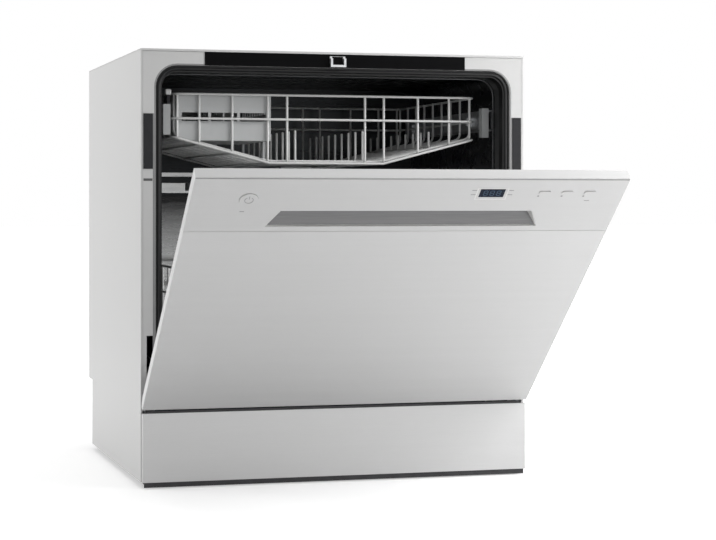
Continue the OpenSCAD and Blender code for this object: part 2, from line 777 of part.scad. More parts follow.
module key_middle() key(0);

module key_right() key(1);

module control_board() color([0.1, 0.32, 0.2]) on_door() {
    board_y = door_y + 5;
    low = button_z - 12;
    block([-power_x - 20, key_x + key_pitch + 16], [board_y, board_y + 1.6], [low, low + 27]);
    for (x = [-power_x - 17, -90, 60, key_x + key_pitch + 13])
        block([x - 2, x + 2], [door_y + panel_wall + gap, board_y], [low + 1, low + 5]);
    for (x = [-150, 0, 40, 150])
        block([x - 8, x + 8], [board_y + 1.6, board_y + 6], [low + 4, low + 20]);
}

liner_r = 22;
disp_hole_hw = disp_w / 2 - 8;
disp_hole_h = disp_h / 2 - 8;

module liner_hollow() slab_xz([shell_y - 2 * sheet, liner_y - sheet])
    arch(liner_hw - sheet, liner_bottom + sheet, liner_top - sheet, liner_r - sheet);

module door_liner() color(steel) on_door() difference() {
    union() {
        block([gap + sheet - hw, hw - sheet - gap], [shell_y - sheet, shell_y], [door_bottom + 6, liner_top]);
        difference() {
            slab_xz([shell_y - sheet, liner_y]) arch(liner_hw, liner_bottom, liner_top, liner_r);
            liner_hollow();
        }
    }
    liner_hollow();
    both_sides() block([arm_x - 3, arm_x + 3], [0, liner_y], [liner_bottom, link_z + 12]);
    both_sides() block([arm_x - 3, bracket_x + bracket_t + 1.5], [0, liner_y],
        [liner_bottom, hinge_z + 8]);
    block([-disp_hole_hw, disp_hole_hw], [liner_y - 5, liner_y + 1],
        [disp_z - disp_hole_h, disp_z + disp_hole_h]);
}

module dispenser() color(plastic_grey) on_door() difference() {
    fit_hw = disp_hole_hw - 0.5;
    fit_h = disp_hole_h - 0.5;
    union() {
        block([-disp_w / 2, disp_w / 2], [liner_y + gap, liner_y + 2.5],
            [disp_z - disp_h / 2, disp_z + disp_h / 2]);
        block([-fit_hw, fit_hw], [liner_y - disp_d, liner_y + gap], [disp_z - fit_h, disp_z + fit_h]);
    }
    block([cup_x, cup_x + cup_w], [liner_y - disp_d + 3, liner_y + 3],
        [disp_z - cup_h / 2, disp_z + cup_h / 2]);
    rod_y(rinse_x, [liner_y - 14, liner_y + 3], disp_z, rinse_r + run_fit);
}

module dispenser_lid() color(plastic_grey) on_door() {
    block([cup_x - 3, cup_x + cup_w + 3], [liner_y + 2.8, liner_y + 5.6], [lid_z, lid_z + cup_h + 8]);
    rod_x([cup_x + 10, cup_x + cup_w - 10], liner_y + 4.4, lid_z, 1.6);
}

module rinse_cap() color(dark) on_door() {
    rod_y(rinse_x, [liner_y + 2.5 + gap, liner_y + 7], disp_z, rinse_r + 5);
    rod_y(rinse_x, [liner_y - 10, liner_y + 2.5 + gap], disp_z, rinse_r);
    block([rinse_x - rinse_r - 2, rinse_x + rinse_r + 2], [liner_y + 7, liner_y + 10],
        [disp_z - 2, disp_z + 2]);
}

module door_latch() color(dark) on_door() difference() {
    block([-32, 32], [door_y + panel_wall + gap, shell_y - 1.5 - gap], [opening_z - 5, door_top - 2.3]);
    block([-12.5, 12.5], [door_y + panel_wall + 1.2, shell_y], [opening_z - 2, door_top - 3.8]);
}

module latch_hook() color(steel) on_door() {
    slab_yz([-2.5, 2.5]) {
        translate([hook_y, hook_z]) circle(2.4);
        translate([hook_y, hook_z - 2.2]) square([7, 3.4]);
        translate([hook_y + 5.2, hook_z - 6.8]) square([1.8, 6]);
    }
    rod_x([-12.3, 12.3], hook_y, hook_z, 1.2);
}

// Flat welded wire mat in a plane: across holds the upright wires' places
module mat_2d(w, h, across, up) {
    for (x = across) translate([x - wire / 2, 0]) square([wire, h]);
    for (z = up) translate([-w / 2, z]) square([w, wire]);
}

function spread(half, count) = [for (i = [0:count - 1]) -half + 2 * half * i / (count - 1)];

// A row of upright prongs on a base wire
module comb_2d(half, count, h) {
    translate([-half - wire, 0]) square([2 * (half + wire), wire]);
    for (x = spread(half, count)) translate([x - wire / 2, 0]) square([wire, h]);
}

module rack_floor(z, half_x, y0, y1, along, cross) translate([0, (y0 + y1) / 2, z]) linear_extrude(wire) {
    depth = y1 - y0;
    for (x = spread(half_x - wire / 2, along)) translate([x - wire / 2, -depth / 2]) square([wire, depth]);
    for (y = spread(depth / 2 - wire / 2, cross))
        translate([-half_x, y - wire / 2]) square([2 * half_x, wire]);
}

module rack_side(side, z, h, levels, count) {
    y0 = rack_front + wire + gap;
    y1 = rack_end - wire - gap;
    half = (y1 - y0) / 2;
    x0 = side > 0 ? rack_hw - wire : -rack_hw;
    translate([0, (y0 + y1) / 2, z]) slab_yz([x0, x0 + wire]) {
        for (y = spread(half - wire / 2, count)) translate([y - wire / 2, 0]) square([wire, h]);
        for (level = levels) translate([-half, level]) square([2 * half, wire]);
    }
}

floor_slope = atan(floor_rise / (rack_hw - floor_flat));
slope_t = wire / cos(floor_slope);
cross_count = 9;
rib_x = [for (side = [-1, 1], part = [0.257, 0.383, 0.613, 0.824]) side * part * rack_hw];

// How far the upper rack's floor lies above its middle
function hull_up(x) = max(0, abs(x) - floor_flat) * floor_rise / (rack_hw - floor_flat);

// Front or back of the upper rack, whose lower edge follows its floor
module rack_end_2d(across) {
    for (x = across) let (low = hull_up(x) + slope_t / 2)
        translate([x - wire / 2, low]) square([wire, upper_h - wire / 2 - low]);
    for (z = [upper_h - upper_rail_drop - wire, upper_h - wire])
        translate([-rack_hw, z]) square([2 * rack_hw, wire]);
    polygon([[-rack_hw, floor_rise], [-floor_flat, 0], [floor_flat, 0], [rack_hw, floor_rise],
        [rack_hw, floor_rise + slope_t], [floor_flat, wire], [-floor_flat, wire],
        [-rack_hw, floor_rise + slope_t]]);
}

// Side part of the upper rack's floor, hinged up at the edge of the flat middle
module sloped_floor(half_x, y0, y1) {
    across = (half_x - floor_flat) / cos(floor_slope);
    depth = y1 - y0;
    translate([floor_flat, (y0 + y1) / 2, upper_z]) rotate([0, -floor_slope, 0]) linear_extrude(wire) {
        for (part = [0:4]) translate([part * (across - wire) / 4, -depth / 2]) square([wire, depth]);
        for (y = spread(depth / 2 - wire / 2, cross_count))
            translate([0, y - wire / 2]) square([across, wire]);
    }
}

module upper_rack() color(white) in_frame() {
    y0 = rack_front + wire + gap;
    y1 = rack_end - wire - gap;
    inner_hw = rack_hw - wire - gap;
    end_x = rack_hw - wire / 2;
    side_h = upper_h - floor_rise;
    slab_xz([rack_front, rack_front + wire]) translate([0, upper_z])
        rack_end_2d(concat([-end_x], rib_x, [end_x]));
    slab_xz([rack_end - wire, rack_end]) translate([0, upper_z]) rack_end_2d(spread(end_x, 12));
    for (side = [-1, 1])
        rack_side(side, upper_z + floor_rise, side_h, [0, side_h - upper_rail_drop - wire, side_h - wire], 9);
    rack_floor(upper_z, floor_flat - wire * sin(floor_slope) - gap, y0, y1, 6, cross_count);
    both_sides() sloped_floor(inner_hw, y0, y1);
    for (x = [-0.18, 0.27, 0.72] * rack_hw) let (low = hull_up(x + wire))
        translate([0, hub_y, upper_z + low + slope_t + gap]) slab_yz([x, x + wire])
            comb_2d((rack_end - rack_front) / 2 - 34, 9, comb_h - low);
}

// A channel-shaped rail along Y, with its web at web_x
module rail(x, z, web_x) {
    block(x, [rack_front, rack_end], [z[0], z[0] + rail_t]);
    block(x, [rack_front, rack_end], [z[1] - rail_t, z[1]]);
    block([web_x, web_x + rail_t], [rack_front, rack_end], z);
}

module tub_rails() color(steel) in_frame() both_sides()
    rail([tub_hw - 9, tub_hw - gap], [rail_z, rail_z + rail_h], tub_hw - gap - rail_t);

module rack_rails() color(steel) in_frame() both_sides() {
    rail([tub_hw - 17, tub_hw - 3], [rail_z + rail_t + 0.4, rail_z + rail_h - rail_t - 0.4], tub_hw - 17);
    for (y = [rack_front + 40, rack_end - 60])
        block([rack_hw + gap, tub_hw - 17], [y, y + 14], [rail_z + 8, rail_z + 20]);
}

module rail_caps() color(plastic_grey) in_frame() both_sides()
    block([tub_hw - 20, tub_hw - 10], [rack_front - 14, rack_front - gap],
        [rail_z - 10, rail_z + rail_h + 2]);

module rack_feed_tube() color(plastic_grey) in_frame() {
    difference() {
        rod_y(0, [hub_y - 10, rack_end + 1.6], feed_z, 10);
        rod_y(0, [hub_y, rack_end + 3], feed_z, 7);
    }
    rod_z(0, hub_y, [upper_arm_z + arm_t + gap, feed_z - 6], post_r + 2);
    rod_z(0, hub_y, [upper_arm_z + 3, upper_arm_z + arm_t + gap], post_r - 4);
    block([-24, 24], [hub_y - 8, hub_y + 8], [feed_z + 7, upper_z - gap]);
    block([-24, 24], [rack_end - 40, rack_end - 24], [feed_z + 7, upper_z - gap]);
}

// Spray arms: a flat blade with rounded ends, jets along it and a bearing
module arm_blade(reach, z) translate([0, hub_y, z]) difference() {
    union() {
        linear_extrude(arm_t) {
            square([2 * (reach - arm_w / 2), arm_w], center = true);
            for (side = [-1, 1]) translate([side * (reach - arm_w / 2), 0]) circle(arm_w / 2);
            circle(arm_w * 0.7);
        }
    }
    for (side = [-1, 1], k = [2:5]) translate([side * k * reach / 6, side * (k - 3.5) * 4, arm_t - 2])
        cylinder(h = 3, r = 2);
}

module lower_spray_arm() color(plastic_grey) in_frame() {
    difference() {
        arm_blade(lower_arm_r, arm_z);
        rod_z(0, hub_y, [arm_z - 1, arm_z + 6], post_r + run_fit);
    }
    difference() {
        rod_z(0, hub_y, [floor_z + 2 + gap, arm_z], post_r + 6);
        rod_z(0, hub_y, [floor_z, arm_z + 1], post_r + run_fit);
    }
}

module upper_spray_arm() color(plastic_grey) in_frame() difference() {
    arm_blade(upper_arm_r, upper_arm_z);
    rod_z(0, hub_y, [upper_arm_z + 2.7, upper_arm_z + arm_t + 1], post_r - 4 + run_fit);
}

// Cutlery basket: a tray with a divider, whose floor follows the rack's and has feet beside the middle
module basket_2d(wall, top) {
    x0 = basket_x + wall;
    x1 = basket_x + basket_w - wall;
    low = upper_z + slope_t + gap;
    bend_x = -floor_flat - (basket_z - low) * (rack_hw - floor_flat) / floor_rise;
    polygon([[x0, low + hull_up(x0) + wall], [bend_x, basket_z + wall], [x1, basket_z + wall],
        [x1, top], [x0, top]]);
}

module cutlery_basket() color(plastic_grey) in_frame() {
    x1 = basket_x + basket_w;
    y0 = rack_front + wire + 4;
    y1 = y0 + basket_l;
    wall = 2;
    rows = 11;
    slots = 3;
    slot_pitch = (basket_w - 10) / slots;
    row_pitch = (basket_l - 16) / rows;
    floor_y0 = rack_front + wire + gap;
    floor_pitch = (rack_end - rack_front - 3 * wire - 2 * gap) / (cross_count - 1);
    difference() {
        slab_xz([y0, y1]) basket_2d(0, rim_z);
        slab_xz([y0 + wall, y1 - wall]) difference() {
            basket_2d(wall, rim_z + 1);
            translate([basket_x + (basket_w - wall) / 2, basket_z]) square([wall, basket_h + 2]);
        }
        for (k = [0:slots - 1], y = [y0 - 1, y1 - wall - 1]) let (x = basket_x + 7 + k * slot_pitch)
            block([x, x + slot_pitch - 4], [y, y + wall + 2],
                [basket_z + slot_up, basket_z + slot_up + slot_h]);
        for (k = [0:rows - 1], low = [basket_z + 12, basket_z + 38]) let (y = y0 + 10 + k * row_pitch)
            block([basket_x - 1, x1 + 1], [y, y + window_w], [low, low + window_h]);
    }
    rear_bar = floor((y1 - 8 - floor_y0 - wire / 2) / floor_pitch);
    for (bar = [1, rear_bar]) let (y = floor_y0 + wire / 2 + bar * floor_pitch)
        block([x1 - 3, x1], [y - 6, y + 6], [upper_z + hull_up(x1 - 3) + slope_t + gap, basket_z + 1]);
}

// Lower rack with its wheels and a row of folding prongs
module lower_rack() color(white) in_frame() {
    inner_hw = rack_hw - wire - gap;
    end_x = rack_hw - wire / 2;
    ups = [0, 40, 80, lower_h - wire];
    for (y = [rack_front, rack_end - wire]) slab_xz([y, y + wire]) translate([0, lower_z])
        mat_2d(2 * rack_hw, lower_h, spread(end_x, 11), ups);
    for (side = [-1, 1]) rack_side(side, lower_z, lower_h, ups, 9);
    rack_floor(lower_z, inner_hw, rack_front + wire + gap, rack_end - wire - gap, 14, 9);
    for (k = [1:4]) slab_xz([hub_y + 12 + k * 36, hub_y + 12 + k * 36 + wire])
        translate([0, lower_z + wire + gap]) comb_2d(rack_hw - 27, 12, prong_h);
    for (side = [-1, 1], y = [wheel_front_y, wheel_rear_y]) {
        x = side > 0 ? rack_hw - wire : -rack_hw;
        block([x, x + wire], [y - 9, y + 9], [wheel_z - 7, lower_z - gap]);
        rod_x(side > 0 ? [rack_hw, rack_hw + wheel_w + 3] : [-rack_hw - wheel_w - 3, -rack_hw],
            y, wheel_z, axle_r);
    }
}

module folding_tines() color(white) in_frame() {
    half = rack_hw - 27;
    axis_z = lower_z + wire + fold_gap + wire / 2;
    rod_x([-half - wire, half + wire], tine_y + wire / 2, axis_z, wire / 2);
    slab_xz([tine_y, tine_y + wire]) for (x = spread(half, 12))
        translate([x - wire / 2, axis_z]) square([wire, prong_h - wire / 2]);
}

module rack_wheel(side, y) color(white) in_frame() difference() {
    x = side > 0 ? rack_hw + 1 : -rack_hw - 1 - wheel_w;
    rod_x([x, x + wheel_w], y, wheel_z, wheel_r);
    rod_x([x - 1, x + wheel_w + 1], y, wheel_z, axle_r + run_fit);
}

module wheel_front_left() rack_wheel(-1, wheel_front_y);

module wheel_front_right() rack_wheel(1, wheel_front_y);

module wheel_rear_left() rack_wheel(-1, wheel_rear_y);

module wheel_rear_right() rack_wheel(1, wheel_rear_y);

side_panel_left();
side_panel_right();
top_panel();
rear_panel();
base_tray();
kickplate();
front_frame();
frame_inserts();
latch_strip();
latch_striker();
door_seal();
tub();
sump();
filter_plate();
softener();
feed_pipe();
circulation_pump();
drain_pump();
heater();
inlet_valve();
air_break();
cord_gland();
hinge_brackets();
tub_rails();
rear_screws();
door_springs();
front_foot_left();
front_foot_right();
upper_rack();
rack_rails();
rail_caps();
rack_feed_tube();
upper_spray_arm();
cutlery_basket();
lower_rack();
folding_tines();
wheel_front_left();
wheel_front_right();
wheel_rear_left();
wheel_rear_right();
lower_spray_arm();
filter_cup();
salt_cap();
float();
pump_impeller();
door_panel();
control_panel();
door_liner();
hinge_arms();
dispenser();
display_window();
door_latch();
control_board();
dispenser_lid();
rinse_cap();
power_button();
latch_hook();
key_left();
key_middle();
key_right();
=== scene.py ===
import json
import math

import bmesh
import bpy
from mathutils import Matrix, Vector


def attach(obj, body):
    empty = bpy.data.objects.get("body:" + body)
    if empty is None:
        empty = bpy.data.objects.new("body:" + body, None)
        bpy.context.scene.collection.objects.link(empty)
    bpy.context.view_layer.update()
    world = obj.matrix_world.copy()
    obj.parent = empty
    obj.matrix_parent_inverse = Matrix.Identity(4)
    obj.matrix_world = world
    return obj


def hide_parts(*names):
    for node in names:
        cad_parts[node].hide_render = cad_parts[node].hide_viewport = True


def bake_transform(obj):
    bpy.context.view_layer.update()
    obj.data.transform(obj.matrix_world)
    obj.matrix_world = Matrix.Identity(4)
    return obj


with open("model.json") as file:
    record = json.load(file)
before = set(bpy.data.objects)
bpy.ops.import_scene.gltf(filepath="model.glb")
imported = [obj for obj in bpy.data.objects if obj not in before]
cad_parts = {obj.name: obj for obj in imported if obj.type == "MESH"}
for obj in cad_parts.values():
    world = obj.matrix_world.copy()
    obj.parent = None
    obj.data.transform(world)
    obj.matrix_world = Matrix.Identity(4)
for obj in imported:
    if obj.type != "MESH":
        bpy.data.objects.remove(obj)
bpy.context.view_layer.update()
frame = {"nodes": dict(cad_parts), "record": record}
MM = 0.001

# Cabinet, with the opening in its frame and the tub behind it
BODY_D = 500.0
FRAME_Y = 10.0
FRAME_LOW = 130.0
OPENING_HALF = 254.5
OPENING_TOP = 573.0
OPENING_R = 30.0
SEAL_Y = 13.6
TUB_HALF = 247.0
TUB_LOW = 175.0
TUB_TOP = 565.0
TUB_R = 26.0
TUB_REAR = 456.8
PIPE_HALF = 19.0
WALL_HALF = 240.0
REAR_FACE = 497.8

# Connections at the back of the base
INLET = (-200.0, 58.0)
DRAIN = (159.3, 80.0)
CORD_GLAND = (-110.0, 42.0)

# Door, at its place when shut
HINGE_Y = 2.0
HINGE_Z = 114.0
DOOR_ANGLE = math.radians(50)
DOOR_Y = -6.0
DOOR_TOP = 593.0
TRIM_HALF = 274.4
PANEL_Z = 492.0
LINER_Y = 44.0
POWER_X = -204.0
POWER_Z = 552.0
LENS_X = (79.6, 120.4)
LENS_Z = (552.6, 573.8)
LENS_EDGE = 1.2

# Racks
WIRE = 3.5
WIRE_R = WIRE / 2
LAP = WIRE * 0.9
MAT_GAP = 0.3
RACK_HALF = 222.0
RACK_FRONT = 64.0
RACK_REAR = 432.8
UPPER_Z = 440.0
UPPER_H = 99.0
LOWER_Z = 178.0
LOWER_H = 120.0
HUB_Y = (RACK_FRONT + RACK_REAR) / 2
TINE_Y = HUB_Y - 40
PRONG_H = 76.0
COMB_H = 46.0
FLOOR_FLAT = 83.0
FLOOR_RISE = 36.0
WHEEL_Z = 170.3
WHEEL_FRONT_Y = RACK_FRONT + 46
WHEEL_REAR_Y = RACK_REAR - 40
BEND_R = 9.0
SIDE_GAP = 3
END_GAP = 8
CROSS_WIRES = 9
COMB_END = 34
COMB_PRONGS = 9
ROW_END = 27
ROW_PRONGS = 12
FIRST_ROW = 12
ROW_PITCH = 36

# Round section of a wire, and the dome at its ends as a part of its radius
SECTION_SIDES = 10
DOME = 0.7


def turned(y, z):
    """Where a point of the shut door lies with the door turned to its angle."""
    dy = y - HINGE_Y
    dz = z - HINGE_Z
    return (HINGE_Y + dy * math.cos(DOOR_ANGLE) - dz * math.sin(DOOR_ANGLE),
            HINGE_Z + dy * math.sin(DOOR_ANGLE) + dz * math.cos(DOOR_ANGLE))


ORIGIN_Y = (turned(DOOR_Y, DOOR_TOP)[0] + BODY_D) / 2


def to_row(x, y, z):
    """A point given in millimetres, in the row's frame and in metres."""
    return Vector((x, y - ORIGIN_Y, z)) * MM


def on_door(x, y, z):
    """A point of the shut door, in the row's frame with the door at its angle."""
    return to_row(x, *turned(y, z))


# Materials
class Nodes:
    """Short calls for building one material's nodes."""

    def __init__(self, name):
        self.material = bpy.data.materials.new(name)
        self.material.use_nodes = True
        self.tree = self.material.node_tree
        self.shader = self.tree.nodes["Principled BSDF"]

    def new(self, kind, **values):
        """A new node, with values for its properties or its inputs."""
        node = self.tree.nodes.new(kind)
        for key, value in values.items():
            if hasattr(node, key):
                setattr(node, key, value)
            else:
                node.inputs[key].default_value = value
        return node

    def link(self, source, target):
        self.tree.links.new(source, target)

    def coords(self, scale):
        """Object coordinates stretched by scale."""
        place = self.new("ShaderNodeTexCoord")
        mapping = self.new("ShaderNodeMapping")
        mapping.inputs["Scale"].default_value = scale
        self.link(place.outputs["Object"], mapping.inputs["Vector"])
        return mapping.outputs["Vector"]

    def noise(self, scale, size, detail=4.0, rough=0.55):
        """Noise in coordinates stretched by scale."""
        node = self.new("ShaderNodeTexNoise")
        node.inputs["Scale"].default_value = size
        node.inputs["Detail"].default_value = detail
        node.inputs["Roughness"].default_value = rough
        self.link(self.coords(scale), node.inputs["Vector"])
        return node.outputs["Fac"]

    def spread(self, value, low, high):
        """The middle of a noise's range, spread from low to high."""
        node = self.new("ShaderNodeMapRange")
        node.inputs["From Min"].default_value = 0.3
        node.inputs["From Max"].default_value = 0.7
        node.inputs["To Min"].default_value = low
        node.inputs["To Max"].default_value = high
        self.link(value, node.inputs["Value"])
        return node.outputs["Result"]

    def colours(self, value, low, high):
        """The base colour, from low to high over the same range."""
        ramp = self.new("ShaderNodeValToRGB")
        ramp.color_ramp.elements[0].position = 0.3
        ramp.color_ramp.elements[1].position = 0.7
        ramp.color_ramp.elements[0].color = (*low, 1)
        ramp.color_ramp.elements[1].color = (*high, 1)
        self.link(value, ramp.inputs["Fac"])
        self.link(ramp.outputs["Color"], self.shader.inputs["Base Color"])

    def bump(self, value, strength, distance):
        """A bumped surface, with distance in metres."""
        node = self.new("ShaderNodeBump")
        node.inputs["Strength"].default_value = strength
        node.inputs["Distance"].default_value = distance
        self.link(value, node.inputs["Height"])
        self.link(node.outputs["Normal"], self.shader.inputs["Normal"])


def grained(name, low, high, rough, metal=0.0, grain=(1, 1, 1), size=900.0, bump=0.12, depth=0.0002,
            coat=0.0, specular=0.5):
    """A surface with fine grain: colour, roughness and bump vary with one stretched noise."""
    n = Nodes(name)
    fine = n.noise(grain, size)
    broad = n.noise(grain, size / 18, 3.0)
    mixed = n.new("ShaderNodeMath", operation="MULTIPLY_ADD")
    mixed.inputs[1].default_value = 0.6
    n.link(fine, mixed.inputs[0])
    scaled = n.new("ShaderNodeMath", operation="MULTIPLY")
    scaled.inputs[1].default_value = 0.4
    n.link(broad, scaled.inputs[0])
    n.link(scaled.outputs[0], mixed.inputs[2])
    n.colours(mixed.outputs[0], low, high)
    n.link(n.spread(mixed.outputs[0], rough[0], rough[1]), n.shader.inputs["Roughness"])
    n.bump(fine, bump, depth)
    n.shader.inputs["Metallic"].default_value = metal
    n.shader.inputs["Coat Weight"].default_value = coat
    n.shader.inputs["Specular IOR Level"].default_value = specular
    return n.material


PAINT = grained("cabinet_paint", (0.63, 0.63, 0.625), (0.665, 0.665, 0.66), (0.36, 0.46), size=1400.0,
                bump=0.10)
BRUSHED = grained("door_finish", (0.626, 0.626, 0.626), (0.658, 0.658, 0.658), (0.34, 0.44), metal=0.30,
                  grain=(0.02, 1, 1), size=1600.0, bump=0.10, depth=0.00008)
PANEL = grained("panel_finish", (0.605, 0.605, 0.605), (0.635, 0.635, 0.635), (0.34, 0.42), metal=0.25,
                grain=(0.03, 1, 1), size=1800.0, bump=0.06, depth=0.00006)
# Dark brushed metal for the recess's back wall: painted shade inside the handle recess, darker than the panel
# it is cut in
RECESS = grained("recess_painted_shade", (0.13, 0.13, 0.135), (0.20, 0.20, 0.20), (0.30, 0.44), metal=0.6,
                 grain=(0.015, 1, 1), size=1500.0, bump=0.15, depth=0.0001)
# The tub's steel is coloured near black: painted shade of the tub's inside, in place of the steel's own
# lighter colour
TUB = grained("tub_steel_painted_shade", (0.016, 0.017, 0.018), (0.050, 0.052, 0.054), (0.22, 0.38), metal=0.9,
              grain=(0.12, 1, 1), size=60.0, bump=0.05, depth=0.0006, specular=0.3)
STAINLESS = grained("stainless", (0.30, 0.305, 0.31), (0.40, 0.405, 0.41), (0.16, 0.30), metal=1.0,
                    grain=(1, 1, 0.03), size=700.0, bump=0.06, depth=0.0001)
ZINC = grained("zinc", (0.46, 0.47, 0.48), (0.62, 0.63, 0.64), (0.30, 0.50), metal=0.9, size=120.0, bump=0.04)
BLACK = grained("black_plastic", (0.016, 0.016, 0.018), (0.030, 0.030, 0.033), (0.45, 0.60), size=1800.0,
                bump=0.25, specular=0.2)
DEEP_BLACK = grained("black_strip", (0.0015, 0.0015, 0.0018), (0.003, 0.003, 0.0035), (0.30, 0.42),
                     size=1500.0, bump=0.05, specular=0.05)
RUBBER = grained("rubber", (0.005, 0.005, 0.0055), (0.010, 0.010, 0.011), (0.60, 0.78), size=1300.0,
                 bump=0.20, specular=0.12)
GREY = grained("grey_plastic", (0.42, 0.43, 0.43), (0.47, 0.48, 0.48), (0.38, 0.50), size=1500.0, bump=0.14)
WHITE = grained("white_plastic", (0.74, 0.74, 0.73), (0.79, 0.79, 0.78), (0.34, 0.46), size=1500.0, bump=0.12)
COATED = grained("coated_wire", (0.76, 0.76, 0.75), (0.82, 0.82, 0.81), (0.26, 0.36), size=700.0, bump=0.08,
                 coat=0.2)
LENS = grained("display_lens", (0.006, 0.011, 0.024), (0.009, 0.016, 0.034), (0.20, 0.28), size=400.0,
               bump=0.01, specular=0.12)
SEGMENT = grained("display_segment", (0.03, 0.07, 0.12), (0.05, 0.10, 0.16), (0.35, 0.45), size=900.0,
                  bump=0.02, specular=0.1)
SEAM = grained("seam_line", (0.29, 0.29, 0.29), (0.33, 0.33, 0.33), (0.40, 0.50), size=1500.0, bump=0.04)
POLISHED = grained("polished_steel", (0.66, 0.66, 0.655), (0.74, 0.74, 0.735), (0.16, 0.26), metal=1.0,
                   grain=(0.05, 1, 1), size=600.0, bump=0.02, depth=0.00005)
# Mid grey for the frame's turned-in edge: painted shade of the return round the opening
EDGE = grained("turned_edge_shade", (0.24, 0.24, 0.24), (0.30, 0.30, 0.30), (0.36, 0.48), size=1500.0, bump=0.05)
SLOT = grained("slot_shadow", (0.10, 0.10, 0.10), (0.14, 0.14, 0.14), (0.5, 0.6), size=1500.0, bump=0.05,
               specular=0.2)
TOP_TRIM = grained("panel_top_finish", (0.56, 0.56, 0.56), (0.60, 0.60, 0.60), (0.34, 0.44),
                   grain=(0.03, 1, 1), size=1600.0, bump=0.05, depth=0.00006)
SEAL = grained("seal_rubber", (0.003, 0.003, 0.0035), (0.007, 0.007, 0.0075), (0.34, 0.46), size=1300.0,
               bump=0.12, specular=0.35)
SKIRT = grained("base_plastic", (0.045, 0.045, 0.047), (0.070, 0.070, 0.073), (0.50, 0.65), size=1500.0,
                bump=0.22, specular=0.25)
BASKET = grained("basket_plastic", (0.52, 0.53, 0.53), (0.57, 0.58, 0.58), (0.38, 0.50), size=1500.0,
                 bump=0.14)
HEM = grained("tub_hem", (0.10, 0.102, 0.105), (0.16, 0.162, 0.165), (0.26, 0.40), metal=0.6,
              grain=(1, 1, 0.05), size=700.0, bump=0.05)
MARK = grained("printed_mark", (0.26, 0.26, 0.27), (0.32, 0.32, 0.33), (0.45, 0.55), size=1600.0, bump=0.03)
BOARD = grained("circuit_board", (0.015, 0.085, 0.040), (0.022, 0.115, 0.055), (0.30, 0.42), size=600.0,
                bump=0.10)


def graded(name, low_z, high_z, low, high, rough):
    """A wall whose colour goes from low to high between two heights, in metres, with fine grain in it."""
    n = Nodes(name)
    place = n.new("ShaderNodeTexCoord")
    split = n.new("ShaderNodeSeparateXYZ")
    n.link(place.outputs["Object"], split.inputs["Vector"])
    rise = n.new("ShaderNodeMapRange")
    rise.inputs["From Min"].default_value = low_z
    rise.inputs["From Max"].default_value = high_z
    rise.inputs["To Min"].default_value = 0.3
    rise.inputs["To Max"].default_value = 0.7
    n.link(split.outputs["Z"], rise.inputs["Value"])
    grain = n.noise((0.12, 1, 1), 240.0)
    mixed = n.new("ShaderNodeMath", operation="MULTIPLY_ADD")
    mixed.inputs[1].default_value = 0.05
    n.link(grain, mixed.inputs[0])
    n.link(rise.outputs["Result"], mixed.inputs[2])
    n.colours(mixed.outputs[0], low, high)
    n.link(n.spread(grain, rough[0], rough[1]), n.shader.inputs["Roughness"])
    n.bump(grain, 0.05, 0.0003)
    n.shader.inputs["Metallic"].default_value = 0.85
    return n.material


SHEET_LOW = 196.0
SHEET_TOP = 397.0
# The rear sheet's colour goes from light steel at 0.29 m to near black at 0.396 m: painted shade, darker
# towards its top
WALL = graded("tub_rear_steel_painted_shade", 0.29, 0.396, (0.66, 0.66, 0.655), (0.03, 0.03, 0.03), (0.22, 0.34))

SLOT_LOOK = {
    "cabinet_paint": PAINT, "door_finish": BRUSHED, "panel_plastic": PANEL, "stainless": STAINLESS,
    "zinc_steel": ZINC, "black_plastic": BLACK, "grey_plastic": GREY, "white_plastic": WHITE,
    "coated_wire": COATED, "rubber": RUBBER, "display_lens": LENS, "circuit_board": BOARD,
}
NODE_LOOK = {
    "tub": TUB, "latch_strip": DEEP_BLACK, "door_seal": SEAL, "base_tray": SKIRT, "cutlery_basket": BASKET,
}
slot_of = {row["node"]: row["material_slot"] for row in frame["record"]["subparts"]}
for node_name, node_object in frame["nodes"].items():
    look = NODE_LOOK.get(node_name, SLOT_LOOK[slot_of[node_name]])
    if not node_object.material_slots:
        node_object.data.materials.append(look)
    for material_slot in node_object.material_slots:
        material_slot.material = look


# Mesh helpers
def rounded(piece, width=0.4, segments=2):
    """Eases a piece's edges by width, in millimetres."""
    bevel = piece.modifiers.new("edges", "BEVEL")
    bevel.width = width * MM
    bevel.segments = segments
    bevel.limit_method = "ANGLE"
    return bevel


EASED = ("top_panel", "side_panel_left", "side_panel_right", "door_panel", "control_panel", "kickplate",
         "front_frame", "rear_panel", "base_tray", "cutlery_basket", "power_button")
for node_name in EASED:
    rounded(frame["nodes"][node_name]).angle_limit = math.radians(40)


def finish_mesh(name, bm, material, body, smooth=True):
    """A new piece from a mesh, riding on a body unless that is None."""
    mesh = bpy.data.meshes.new(name)
    bmesh.ops.recalc_face_normals(bm, faces=bm.faces)
    bm.to_mesh(mesh)
    bm.free()
    for face in mesh.polygons:
        face.use_smooth = smooth
    piece = bpy.data.objects.new(name, mesh)
    bpy.context.collection.objects.link(piece)
    mesh.materials.append(material)
    if body:
        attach(piece, body)
    return piece


